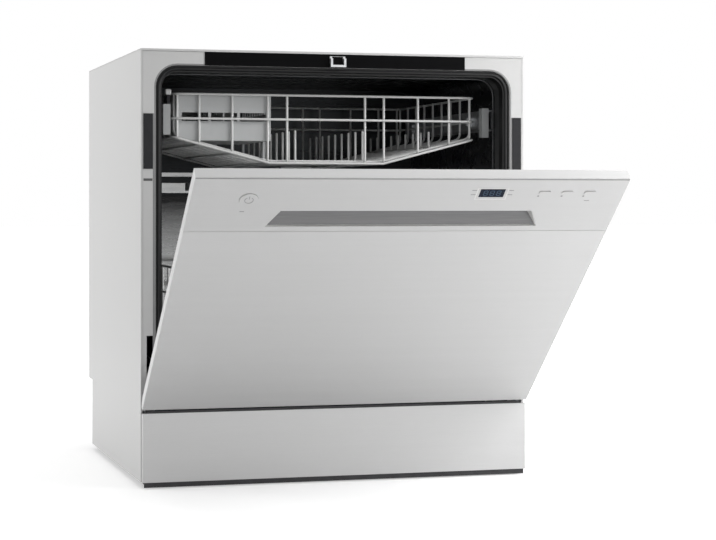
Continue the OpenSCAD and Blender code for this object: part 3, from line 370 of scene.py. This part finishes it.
def tube(bm, points, radius, closed=False):
    """A round wire along points in metres, with domed ends."""
    count = len(points)
    rings = []
    side = None
    for i, point in enumerate(points):
        before = points[(i - 1) % count] if closed or i > 0 else point
        after = points[(i + 1) % count] if closed or i < count - 1 else point
        along = (after - before).normalized()
        if side is None:
            side = along.orthogonal().normalized()
        side = (side - along * side.dot(along)).normalized()
        up = along.cross(side)
        ring = []
        for k in range(SECTION_SIDES):
            angle = 2 * math.pi * k / SECTION_SIDES
            ring.append(bm.verts.new(point + radius * (math.cos(angle) * side + math.sin(angle) * up)))
        rings.append(ring)
    pairs = list(zip(rings, rings[1:]))
    if closed:
        first = rings[0]
        last = rings[-1]
        shift = min(range(SECTION_SIDES), key=lambda s: (last[0].co - first[s].co).length)
        pairs.append((last, first[shift:] + first[:shift]))
    for one, two in pairs:
        for k in range(SECTION_SIDES):
            m = (k + 1) % SECTION_SIDES
            bm.faces.new((one[k], one[m], two[m], two[k]))
    if not closed:
        for ring, inner in ((rings[0], points[1]), (rings[-1], points[-2])):
            centre = sum((v.co for v in ring), Vector()) / SECTION_SIDES
            out = (centre - inner).normalized()
            small = [bm.verts.new(centre + (v.co - centre) * DOME + out * radius * DOME) for v in ring]
            for k in range(SECTION_SIDES):
                m = (k + 1) % SECTION_SIDES
                bm.faces.new((ring[k], ring[m], small[m], small[k]))
            bm.faces.new(small)


def bend(points, radius, steps=4):
    """The open path through points, in millimetres, with its corners rounded."""
    out = [points[0]]
    for before, corner, after in zip(points, points[1:], points[2:]):
        a = before - corner
        b = after - corner
        reach = min(radius, a.length / 2, b.length / 2)
        start = corner + a.normalized() * reach
        end = corner + b.normalized() * reach
        for k in range(steps + 1):
            t = k / steps
            out.append(start * (1 - t) ** 2 + corner * 2 * t * (1 - t) + end * t ** 2)
    out.append(points[-1])
    return out


def wires(bm, paths, radius, place=to_row, closed=False):
    """Round wires along paths of points in millimetres."""
    for path in paths:
        tube(bm, [place(*p) for p in path], radius * MM, closed)


def wire_piece(name, paths, radius, material, body, place=to_row, closed=False):
    """A piece made of round wires."""
    bm = bmesh.new()
    wires(bm, paths, radius, place, closed)
    return finish_mesh(name, bm, material, body)


def add_box(bm, xs, ys, zs, place=to_row):
    """A block between two x, two y and two z, in millimetres."""
    verts = [bm.verts.new(place(x, y, z)) for z in zs for y in ys for x in xs]
    for face in ((0, 1, 3, 2), (4, 6, 7, 5), (0, 4, 5, 1), (2, 3, 7, 6), (0, 2, 6, 4), (1, 5, 7, 3)):
        bm.faces.new([verts[i] for i in face])


def box_piece(name, blocks, material, body, place=to_row):
    """A piece made of blocks, each given by its x, y and z ranges."""
    bm = bmesh.new()
    for xs, ys, zs in blocks:
        add_box(bm, xs, ys, zs, place)
    return finish_mesh(name, bm, material, body, smooth=False)


def ribbon(bm, one, two):
    """A thin strip between two paths of as many points."""
    rows = [[bm.verts.new(to_row(*p)) for p in path] for path in (one, two)]
    for i in range(len(one) - 1):
        bm.faces.new((rows[0][i], rows[0][i + 1], rows[1][i + 1], rows[1][i]))


def corner_arcs(half, low, high, radius, steps):
    """Four lists of points, one for each rounded corner of an upright or level rectangle."""
    arcs = []
    for cu, cv, start in ((half - radius, high - radius, 0), (radius - half, high - radius, 90),
                          (radius - half, low + radius, 180), (half - radius, low + radius, 270)):
        angles = [math.radians(start + 90 * k / steps) for k in range(steps + 1)]
        arcs.append([(cu + radius * math.cos(a), cv + radius * math.sin(a)) for a in angles])
    return arcs


def upright_loop(half, low, high, radius, y):
    """A closed rounded rectangle of points facing the front or the back."""
    return [(u, y, v) for arc in corner_arcs(half, low, high, radius, 6) for u, v in arc]


def rim_loop(half_x, y0, y1, height, corner=12.0, steps=5):
    """A closed level loop with rounded corners, whose height may follow x."""
    points = []
    for arc, turn in zip(corner_arcs(half_x, y0, y1, corner, steps), (1, 0, -1, 0)):
        points += arc
        if turn:
            y = arc[-1][1]
            points += [(turn * FLOOR_FLAT, y), (-turn * FLOOR_FLAT, y)]
    return [(x, y, height(x)) for x, y in points]


def arch(half, low, top, radius, y, steps=8):
    """Points up a left leg, round two corners and down a right leg."""
    bend_z = (low + top - radius) / 2
    points = [(-half, y, low), (-half, y, bend_z)]
    for cx, start in ((radius - half, 180), (half - radius, 90)):
        for k in range(steps + 1):
            angle = math.radians(start - 90 * k / steps)
            points.append((cx + radius * math.cos(angle), y, top - radius + radius * math.sin(angle)))
    return points + [(half, y, bend_z), (half, y, low)]


def circle(centre, radius, axis, count=28):
    """Points round a centre, about the x, y or z axis."""
    points = []
    for k in range(count):
        angle = 2 * math.pi * k / count
        a = radius * math.cos(angle)
        b = radius * math.sin(angle)
        offset = {"x": (0, a, b), "y": (a, 0, b), "z": (a, b, 0)}[axis]
        points.append(tuple(c + o for c, o in zip(centre, offset)))
    return points


def spaced(half, count):
    """Evenly spaced values from -half to half."""
    return [-half + 2 * half * i / (count - 1) for i in range(count)]


# Racks, with rounded wires in place of the flat mats
def rack(name, body, low, height, levels, along_x, combs, rise):
    """A welded basket of bent round wires with rims, and rows of prongs on its floor."""
    bm = bmesh.new()
    outer_x = RACK_HALF - WIRE_R
    y0 = RACK_FRONT + WIRE_R
    y1 = RACK_REAR - WIRE_R
    inner_x = outer_x - LAP
    inner_y0 = y0 + LAP
    inner_y1 = y1 - LAP
    top = low + height - WIRE_R
    floor = low + WIRE_R
    level_floor = rise(inner_x) == 0
    for x in along_x:
        x = max(-inner_x + SIDE_GAP, min(inner_x - SIDE_GAP, x))
        z = floor + rise(x) - (LAP if level_floor else 0)
        corners = [(inner_y0, top), (inner_y0, z), (inner_y1, z), (inner_y1, top)]
        wires(bm, [bend([Vector((x, y, z)) for y, z in corners], BEND_R)], WIRE_R)
    cross_z = floor + (0 if level_floor else LAP)
    side_z = cross_z + rise(inner_x)
    corners = [(-inner_x, top), (-inner_x, side_z), (-FLOOR_FLAT, cross_z), (FLOOR_FLAT, cross_z),
               (inner_x, side_z), (inner_x, top)]
    for dy in spaced((inner_y1 - inner_y0) / 2 - END_GAP, CROSS_WIRES):
        wires(bm, [bend([Vector((x, HUB_Y + dy, z)) for x, z in corners], BEND_R)], WIRE_R)
    for level in levels:
        wires(bm, [rim_loop(outer_x, y0, y1, lambda x: floor + (level or rise(x)))], WIRE_R, closed=True)
    for comb in combs:
        wires(bm, comb, WIRE_R)
    return finish_mesh(name, bm, COATED, body)


def hull_up(x):
    """How far the upper rack's floor lies above its middle."""
    return max(0.0, abs(x) - FLOOR_FLAT) * FLOOR_RISE / (RACK_HALF - FLOOR_FLAT)


def no_rise(x):
    """The lower rack's floor is level."""
    return 0.0


def comb_row(x):
    """A row of short prongs from front to back on the upper rack's floor."""
    base = UPPER_Z + hull_up(x) + WIRE + 2 * MAT_GAP + WIRE_R
    top = UPPER_Z + WIRE + MAT_GAP + COMB_H - WIRE_R
    half = (RACK_REAR - RACK_FRONT) / 2 - COMB_END
    uprights = [[(x, HUB_Y + dy, base), (x, HUB_Y + dy, top)] for dy in spaced(half, COMB_PRONGS)]
    return [[(x, HUB_Y - half - WIRE, base), (x, HUB_Y + half + WIRE, base)]] + uprights


def prong_row(y, base):
    """A row of long prongs from left to right, whose bar lies at height base."""
    half = RACK_HALF - ROW_END
    uprights = [[(x, y, base), (x, y, base + PRONG_H - WIRE)] for x in spaced(half, ROW_PRONGS)]
    return [[(-half - WIRE, y, base), (half + WIRE, y, base)]] + uprights


END_X = 217.0
rib_x = [side * part * RACK_HALF for side in (-1, 1) for part in (0.257, 0.383, 0.613, 0.824)]
upper_combs = [comb_row(part * RACK_HALF + WIRE_R) for part in (-0.18, 0.27, 0.72)]
upper = rack("upper_basket_wires", "upper_rack", UPPER_Z, UPPER_H, (0.0, 61.5, 95.5),
             [-END_X] + sorted(rib_x) + [END_X], upper_combs, hull_up)
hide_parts("upper_rack")

lower_base = LOWER_Z + WIRE + MAT_GAP + WIRE_R
lower_combs = [prong_row(HUB_Y + FIRST_ROW + k * ROW_PITCH + WIRE_R, lower_base) for k in range(1, 5)]
lower = rack("lower_basket_wires", "lower_rack", LOWER_Z, LOWER_H, (0.0, 40.0, 80.0, 116.5),
             spaced(END_X, 11), lower_combs, no_rise)
AXLE_R = 2.9
axles = bmesh.new()
for side in (-1, 1):
    for wheel_y in (WHEEL_FRONT_Y, WHEEL_REAR_Y):
        axle_x = (side * (RACK_HALF - 2), side * (RACK_HALF + 10))
        wires(axles, [[(x, wheel_y, WHEEL_Z) for x in axle_x]], AXLE_R)
        hanger_x = side * (RACK_HALF - WIRE_R)
        wires(axles, [[(hanger_x, wheel_y, LOWER_Z + 3), (hanger_x, wheel_y, WHEEL_Z - 2.3)]], WIRE_R)
finish_mesh("lower_basket_axles", axles, ZINC, "lower_rack")
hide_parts("lower_rack")

FOLD_GAP = 0.2
fold_base = LOWER_Z + WIRE + (math.sqrt(2) - 1) / 2 * WIRE + FOLD_GAP + WIRE_R
folding = wire_piece("folding_prongs", prong_row(TINE_Y + WIRE_R, fold_base), WIRE_R, COATED,
                     "folding_tines")
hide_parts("folding_tines")


# Handle recess: a thin lining on its walls in painted light and shade, and a painted highlight along its
# lower lip
INSET = 0.25
RECESS_LOW = PANEL_Z + 9
RECESS_BACK = 16.0
MOUTH_HALF = 176.0
MOUTH_SLOPE = (16, 33)
DEPTH_TAPER = 9
LINING = 0.0002


def recess_piece(name, outline, material, ends=False):
    """A strip of the lining between points (y, z), or its two ends where ends is true."""
    bm = bmesh.new()
    verts = []
    for y, z in outline:
        narrowing = MOUTH_SLOPE[0] * (z - RECESS_LOW) / MOUTH_SLOPE[1]
        half = MOUTH_HALF - narrowing - INSET - DEPTH_TAPER * (y - DOOR_Y) / (RECESS_BACK - DOOR_Y)
        verts += [bm.verts.new(on_door(-half, y, z)), bm.verts.new(on_door(half, y, z))]
    if ends:
        bm.faces.new(verts[0::2])
        bm.faces.new(verts[1::2])
    else:
        for i in range(0, len(verts) - 2, 2):
            bm.faces.new((verts[i], verts[i + 1], verts[i + 3], verts[i + 2]))
    piece = finish_mesh(name, bm, material, "door", smooth=False)
    solid = piece.modifiers.new("sheet", "SOLIDIFY")
    solid.thickness = LINING
    solid.offset = 0.0


back_y = RECESS_BACK - INSET
profile = [(DOOR_Y, RECESS_LOW + INSET), (DOOR_Y + 3, RECESS_LOW + INSET), (back_y, 529 + INSET),
           (back_y, 533.6), (DOOR_Y, RECESS_LOW + 30 - INSET)]
# The floor facet is white: painted light, lighter than the shade it lies in
recess_piece("recess_floor", profile[0:2], WHITE)
# The back wall in dark metal: painted shade of the recess
recess_piece("recess_wall", profile[1:4], RECESS)
# The roof in slot_shadow grey: painted shade under the recess's top edge
recess_piece("recess_roof", profile[3:5], SLOT)
# The end walls are white: painted light, standing in for light from the left reaching into the recess
recess_piece("recess_ends", profile, WHITE, ends=True)
# A thin white wire along the lower lip: a painted highlight on the lip's edge
LIP_R = 0.55
lip_path = [(x, DOOR_Y + LIP_R, RECESS_LOW - 0.2) for x in (-174, -60, 60, 174)]
wire_piece("recess_lip_highlight", [lip_path], LIP_R, WHITE, "door", on_door)


# Display digits and printed marks, all generic
DIGIT_Y = (DOOR_Y - 0.25, DOOR_Y - 0.2)
DIGIT_Z = 565.0
DIGIT_HALF = 2.4
SEGMENT_L = 4.2
SEGMENT_HALF = 0.5
segments = []
for digit_x in (91.5, 100.0, 108.5):
    level_x = (digit_x - DIGIT_HALF + 0.4, digit_x + DIGIT_HALF - 0.4)
    for z in (DIGIT_Z - SEGMENT_L, DIGIT_Z, DIGIT_Z + SEGMENT_L):
        segments.append((level_x, DIGIT_Y, (z - SEGMENT_HALF, z + SEGMENT_HALF)))
    for x in (digit_x - DIGIT_HALF, digit_x + DIGIT_HALF):
        for low in (DIGIT_Z - SEGMENT_L, DIGIT_Z):
            upright_z = (low + SEGMENT_HALF, low + SEGMENT_L - SEGMENT_HALF)
            segments.append(((x - SEGMENT_HALF, x + SEGMENT_HALF), DIGIT_Y, upright_z))
box_piece("display_digits", segments, SEGMENT, "door", on_door)

# Each mark's middle and half size, in x and z: below the keys, beside the display, round the power button
MARKS = ((162, 559.5, 1.2, 1.2), (193, 559.5, 1.2, 1.2), (222, 559.5, 1.2, 1.2), (229, 551, 3.5, 0.6),
         (76, 570, 3, 0.7), (76, 562, 3, 0.7), (124, 570, 3, 0.7), (124, 562, 3, 0.7),
         (-209, 530, 2.8, 0.7), (-214.6, 551, 0.8, 3.4), (-202.5, 561, 3.2, 0.9))
box_piece("panel_marks", [((x - w, x + w), (DOOR_Y - 0.05, DOOR_Y), (z - h, z + h)) for x, z, w, h in MARKS],
          MARK, "door", on_door)

SYMBOL_Y = DOOR_Y - 1.0
SYMBOL_R = 5.2
angles = [math.radians(a) for a in range(-235, 56, 10)]
arc = [(POWER_X + SYMBOL_R * math.cos(a), SYMBOL_Y, POWER_Z + SYMBOL_R * math.sin(a)) for a in angles]
stroke = [(POWER_X, SYMBOL_Y, POWER_Z + 2), (POWER_X, SYMBOL_Y, POWER_Z + 7)]
wire_piece("power_symbol", [arc, stroke], 0.35, MARK, "power_button", on_door)


# Edges, seals and trims that the light picks out, and a frame edge in painted shade
SKIN = 0.1
TURNED = 2.2
LEG_TOP = 507.0
# A flat strip round the opening and down the legs, coloured as the painted shade of the frame's turned-in
# edge
turned_edge_shade = bmesh.new()
edge_y = FRAME_Y - 0.06
ribbon(turned_edge_shade, arch(OPENING_HALF, FRAME_LOW, OPENING_TOP, OPENING_R, edge_y),
       arch(OPENING_HALF + TURNED, FRAME_LOW, OPENING_TOP + TURNED, OPENING_R + TURNED, edge_y))
for side in (-1, 1):
    add_box(turned_edge_shade, (side * OPENING_HALF, side * (OPENING_HALF + 4)), (FRAME_Y - SKIN, FRAME_Y),
            (FRAME_LOW, LEG_TOP))
finish_mesh("frame_turned_edge", turned_edge_shade, EDGE, "cabinet", smooth=False)

box_piece("frame_slots", [((side * 259.0, side * 271.3), (FRAME_Y - SKIN, FRAME_Y), (415.6, 419.0))
                          for side in (-1, 1)], SLOT, "cabinet")

BULB_IN = 4.9
bulb_path = arch(OPENING_HALF - BULB_IN, FRAME_LOW + 3, OPENING_TOP - BULB_IN, OPENING_R - BULB_IN, SEAL_Y)
wire_piece("seal_bulb", [bulb_path], 2.4, SEAL, "cabinet")

BEAD_IN = 1.3
bead_path = arch(TUB_HALF - BEAD_IN, TUB_LOW, TUB_TOP - BEAD_IN, TUB_R - BEAD_IN, 56)
wire_piece("tub_hem_bead", [bead_path], 0.9, HEM, "cabinet")

BAND_IN = 0.3
band = bmesh.new()
ribbon(band, *(arch(TUB_HALF - BAND_IN, TUB_LOW, TUB_TOP - BAND_IN, TUB_R - BAND_IN, y) for y in (31, 51)))
finish_mesh("tub_hem_band", band, HEM, "cabinet")

# Pressed ribs and a sheet on the tub's rear wall, on both sides of the feed pipe; the sheet is light steel
# below and painted shade, darker towards its top
ribs = [((side * PIPE_HALF, side * WALL_HALF), (TUB_REAR - 2.2, TUB_REAR - SKIN), rib_z)
        for side in (-1, 1) for rib_z in ((427.0, 434.5), (401.0, 418.0))]
rounded(box_piece("tub_rear_ribs", ribs, POLISHED, "cabinet"), 0.8, 3)
sheets = [((side * PIPE_HALF, side * WALL_HALF), (TUB_REAR - 1.0, TUB_REAR - SKIN), (SHEET_LOW, SHEET_TOP))
          for side in (-1, 1)]
rounded(box_piece("tub_rear_sheet", sheets, WALL, "cabinet"))

# Stop at the left end of the upper rack
rounded(box_piece("rail_stop_cap", [((-233.0, -225.0), (54.0, 62.0), (535.0, 543.0))], WHITE,
                  "upper_rack"), 1.2)
rounded(box_piece("rail_stop_stem", [((-231.0, -227.0), (55.0, 61.0), (521.0, 535.2))], BLACK,
                  "upper_rack"))

# A dark strip in the gap between the door's lower edge and the kick plate: painted shade of that gap
rounded(box_piece("kick_gap_shade", [((-268, 268), (0.4, 3.0), (101.5, 105.0))], SKIRT, "cabinet"), 0.6)
# A near-black plate between the striker's uprights: painted shade inside its pocket
box_piece("striker_pocket_shade", [((-7.8, 7.8), (7.0, 7.25), (577.2, 588.6))], DEEP_BLACK, "cabinet")

trim_x = (-TRIM_HALF, TRIM_HALF)
box_piece("panel_top_trim", [(trim_x, (DOOR_Y + 0.3, 7.6), (DOOR_TOP, DOOR_TOP + 0.15))], TOP_TRIM, "door",
          on_door)
box_piece("panel_top_seam", [(trim_x, (DOOR_Y - 0.05, DOOR_Y), (DOOR_TOP - 3.2, DOOR_TOP - 1.0))], SEAM,
          "door", on_door)

x0, x1 = LENS_X
z0, z1 = LENS_Z
bezel_y = (DOOR_Y - 0.08, DOOR_Y)
bezel = [(LENS_X, bezel_y, (z1 - LENS_EDGE, z1)), (LENS_X, bezel_y, (z0, z0 + LENS_EDGE))]
for side_x in ((x0, x0 + LENS_EDGE), (x1 - LENS_EDGE, x1)):
    bezel.append((side_x, bezel_y, (z0 + LENS_EDGE, z1 - LENS_EDGE)))
box_piece("display_bezel", bezel, WHITE, "door", on_door)


# Balance springs: coils and rods in the cabinet, and links that run out to the door's pins
SPRING_X = 258.0
SPRING_Z = 174.66
COIL_FRONT = 113.0
COIL_STEP = 0.597
COIL_POINTS = 361
COIL_R = 5.1
PIN_Y = -26.73
LINK_START = 60.0
LINK_STEPS = 24
link_run = PIN_Y - LINK_START
coils = []
rods = []
links = []
pins = []
for side in (-1, 1):
    x = side * SPRING_X
    coil = [(x, COIL_FRONT - 4, SPRING_Z)]
    for k in range(COIL_POINTS):
        angle = math.pi * k / 5
        coil_y = COIL_FRONT + k * COIL_STEP
        coil.append((x + COIL_R * math.cos(angle), coil_y, SPRING_Z + COIL_R * math.sin(angle)))
    coils.append(coil)
    rods.append([(x, LINK_START - 2, SPRING_Z), (x, COIL_FRONT - 2, SPRING_Z)])
    links.append([(x, LINK_START + link_run * k / LINK_STEPS, SPRING_Z) for k in range(LINK_STEPS + 1)])
    pins.append([(side * (SPRING_X - 0.5), PIN_Y, SPRING_Z), (side * (SPRING_X + 6.5), PIN_Y, SPRING_Z)])
coil_piece = wire_piece("spring_coils", coils, 0.9, ZINC, "cabinet")
wire_piece("spring_rods", rods, 1.5, ZINC, "cabinet")
link_piece = wire_piece("spring_links", links, 1.5, ZINC, None)
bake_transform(link_piece)
wire_piece("spring_pins", pins, 1.9, ZINC, "door")
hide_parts("door_springs")


# Fittings and stampings on the back, in the tub and on the liner
STAMP_R = 1.3
VENT_Z = (176, 179.2)
VENT_PITCH = 9
THREAD_R = 13.1
THREAD_PITCH = 2.2
BARB_R = 9.6
BARB_PITCH = 4
NOZZLE_R = 3.2
NOZZLE_PITCH = 26
NOZZLE_OFFSET = 8
stamping = bmesh.new()
wires(stamping, [upright_loop(232, 150, 552, 22, REAR_FACE - 0.1)], STAMP_R, closed=True)
wires(stamping, [[(x, REAR_FACE - 0.2, z) for x in (-196, 0, 196)] for z in (265, 351, 437)], STAMP_R)
finish_mesh("rear_stampings", stamping, ZINC, "cabinet")
vent_y = (REAR_FACE - 0.05, REAR_FACE + 0.1)
vents = [((side * 120, side * 186), vent_y, [z + k * VENT_PITCH for z in VENT_Z])
         for k in range(7) for side in (-1, 1)]
box_piece("rear_vents", vents, BLACK, "cabinet")

inlet_x, inlet_z = INLET
thread = [circle((inlet_x, 465.6 + k * THREAD_PITCH, inlet_z), THREAD_R, "y") for k in range(6)]
wire_piece("inlet_thread", thread, 0.55, WHITE, "cabinet", closed=True)
drain_x, drain_z = DRAIN
cord_x, cord_z = CORD_GLAND
barbs = bmesh.new()
drain_rings = [circle((drain_x, 467 + k * BARB_PITCH, drain_z), BARB_R, "y") for k in range(4)]
wires(barbs, drain_rings, 0.8, closed=True)
cord_rings = [circle((cord_x, 467.2, cord_z), radius, "y") for radius in (13.4, 8.6)]
wires(barbs, cord_rings, 0.5, closed=True)
finish_mesh("hose_barbs", barbs, BLACK, "cabinet")

for body, top, reach in (("upper_spray_arm", 415.0, 150), ("lower_spray_arm", 171.0, 170)):
    nozzles = []
    for k in range(5):
        for side in (-1, 1):
            nozzle_y = HUB_Y + (NOZZLE_OFFSET if k % 2 else -NOZZLE_OFFSET) * side
            nozzle_x = side * (reach - k * NOZZLE_PITCH)
            nozzles.append(circle((nozzle_x, nozzle_y, top), NOZZLE_R, "z", count=16))
    wire_piece(body + "_nozzles", nozzles, 0.6, BLACK, body, closed=True)

wire_piece("liner_stamping", [upright_loop(214, 150, 520, 30, LINER_Y)], STAMP_R, STAINLESS, "door",
           on_door, closed=True)

WHEEL_FACES = (223.1, 230.9)
RIM_RADII = (9.5, 4.6)
for end, wheel_y in (("front", WHEEL_FRONT_Y), ("rear", WHEEL_REAR_Y)):
    for hand, side in (("left", -1), ("right", 1)):
        wheel = "wheel_" + end + "_" + hand
        rims = [circle((side * face, wheel_y, WHEEL_Z), radius, "x")
                for face in WHEEL_FACES for radius in RIM_RADII]
        wire_piece(wheel + "_rims", rims, 0.4, GREY, wheel, closed=True)


# Floor and world: white where they are seen, plain light where they fall on the object
FLOOR_SIZE = 30.0
FLOOR_GLOW = 0.74
NEAR_GLOW = 0.42
NEAR_R = 0.35
FAR_R = 1.6
WORLD_LIGHT = 0.355


def seen_rays(tree):
    """1 for camera, glossy and transmission rays, and 0 for the light that falls on the object."""
    rays = tree.nodes.new("ShaderNodeLightPath")
    total = rays.outputs["Is Camera Ray"]
    for name in ("Is Glossy Ray", "Is Transmission Ray"):
        add = tree.nodes.new("ShaderNodeMath")
        add.operation = "ADD"
        add.use_clamp = True
        tree.links.new(total, add.inputs[0])
        tree.links.new(rays.outputs[name], add.inputs[1])
        total = add.outputs[0]
    return total


def floor_look():
    """A matt floor that glows to white away from the object, and keeps its shadow near it."""
    n = Nodes("floor")
    n.shader.inputs["Base Color"].default_value = (0.80, 0.80, 0.80, 1)
    n.shader.inputs["Roughness"].default_value = 0.9
    n.shader.inputs["Specular IOR Level"].default_value = 0.1
    place = n.new("ShaderNodeTexCoord")
    distance = n.new("ShaderNodeVectorMath", operation="LENGTH")
    n.link(place.outputs["Object"], distance.inputs[0])
    fade = n.new("ShaderNodeMapRange", interpolation_type="SMOOTHSTEP")
    fade.inputs["From Min"].default_value = NEAR_R
    fade.inputs["From Max"].default_value = FAR_R
    fade.inputs["To Min"].default_value = NEAR_GLOW
    fade.inputs["To Max"].default_value = FLOOR_GLOW
    n.link(distance.outputs["Value"], fade.inputs["Value"])
    strength = n.new("ShaderNodeMath", operation="MULTIPLY")
    n.link(seen_rays(n.tree), strength.inputs[0])
    n.link(fade.outputs["Result"], strength.inputs[1])
    glow = n.new("ShaderNodeEmission")
    n.link(strength.outputs[0], glow.inputs["Strength"])
    both = n.new("ShaderNodeAddShader")
    n.link(n.shader.outputs["BSDF"], both.inputs[0])
    n.link(glow.outputs["Emission"], both.inputs[1])
    n.link(both.outputs[0], n.tree.nodes["Material Output"].inputs["Surface"])
    return n.material


floor_mesh = bpy.data.meshes.new("floor")
floor_corners = [(sx * FLOOR_SIZE, sy * FLOOR_SIZE, 0) for sx, sy in ((-1, -1), (1, -1), (1, 1), (-1, 1))]
floor_mesh.from_pydata(floor_corners, [], [(0, 1, 2, 3)])
floor_mesh.materials.append(floor_look())
floor_object = bpy.data.objects.new("floor", floor_mesh)
bpy.context.collection.objects.link(floor_object)

world = bpy.data.worlds.new("studio")
bpy.context.scene.world = world
world.use_nodes = True
tree = world.node_tree
background = tree.nodes["Background"]
background.inputs["Color"].default_value = (1, 1, 1, 1)
amount = tree.nodes.new("ShaderNodeMapRange")
amount.inputs["To Min"].default_value = WORLD_LIGHT
amount.inputs["To Max"].default_value = 1.0
tree.links.new(seen_rays(tree), amount.inputs["Value"])
tree.links.new(amount.outputs["Result"], background.inputs["Strength"])


# Lamps, in metres and watts, and the camera fitted to the photograph
def area(name, place, aim, size, power):
    """A square lamp at place, turned towards aim."""
    light = bpy.data.lights.new(name, "AREA")
    light.shape = "SQUARE"
    light.size = size
    light.energy = power
    lamp = bpy.data.objects.new(name, light)
    bpy.context.collection.objects.link(lamp)
    lamp.location = place
    lamp.rotation_euler = (Vector(aim) - Vector(place)).to_track_quat("-Z", "Y").to_euler()


area("left_light", (-2.0, 1.2, 0.8), (-0.27, 0.25, 0.30), 1.0, 15)
area("right_light", (1.5, -0.55, 0.75), (0.2, -0.2, 0.25), 0.6, 6)
area("front_right_light", (0.85, -0.95, 0.50), (0.22, -0.25, 0.30), 0.4, 2.2)
area("floor_light", (0.9, -0.7, 1.1), (0.45, -0.45, 0.0), 0.5, 8.5)
area("top_light", (0.1, 0.3, 2.6), (0, 0, 0.3), 2.0, 27)

FOCAL_PX = 1995.0
IMAGE_W = 716.0
IMAGE_H = 540.0
PRINCIPAL_ROW = 203.5
YAW = math.radians(15.83)
SENSOR = 36.0
CAMERA_PLACE = (-728, -2664, 385)
camera_data = bpy.data.cameras.new("camera")
camera_data.sensor_width = SENSOR
camera_data.lens = FOCAL_PX * SENSOR / IMAGE_W
camera_data.shift_y = (PRINCIPAL_ROW - IMAGE_H / 2) / IMAGE_W
camera_data.clip_end = 100
camera = bpy.data.objects.new("camera", camera_data)
bpy.context.collection.objects.link(camera)
camera.location = to_row(*CAMERA_PLACE)
camera.rotation_euler = (math.pi / 2, 0, -YAW)
bpy.context.scene.camera = camera
bpy.context.scene.view_settings.view_transform = "Standard"
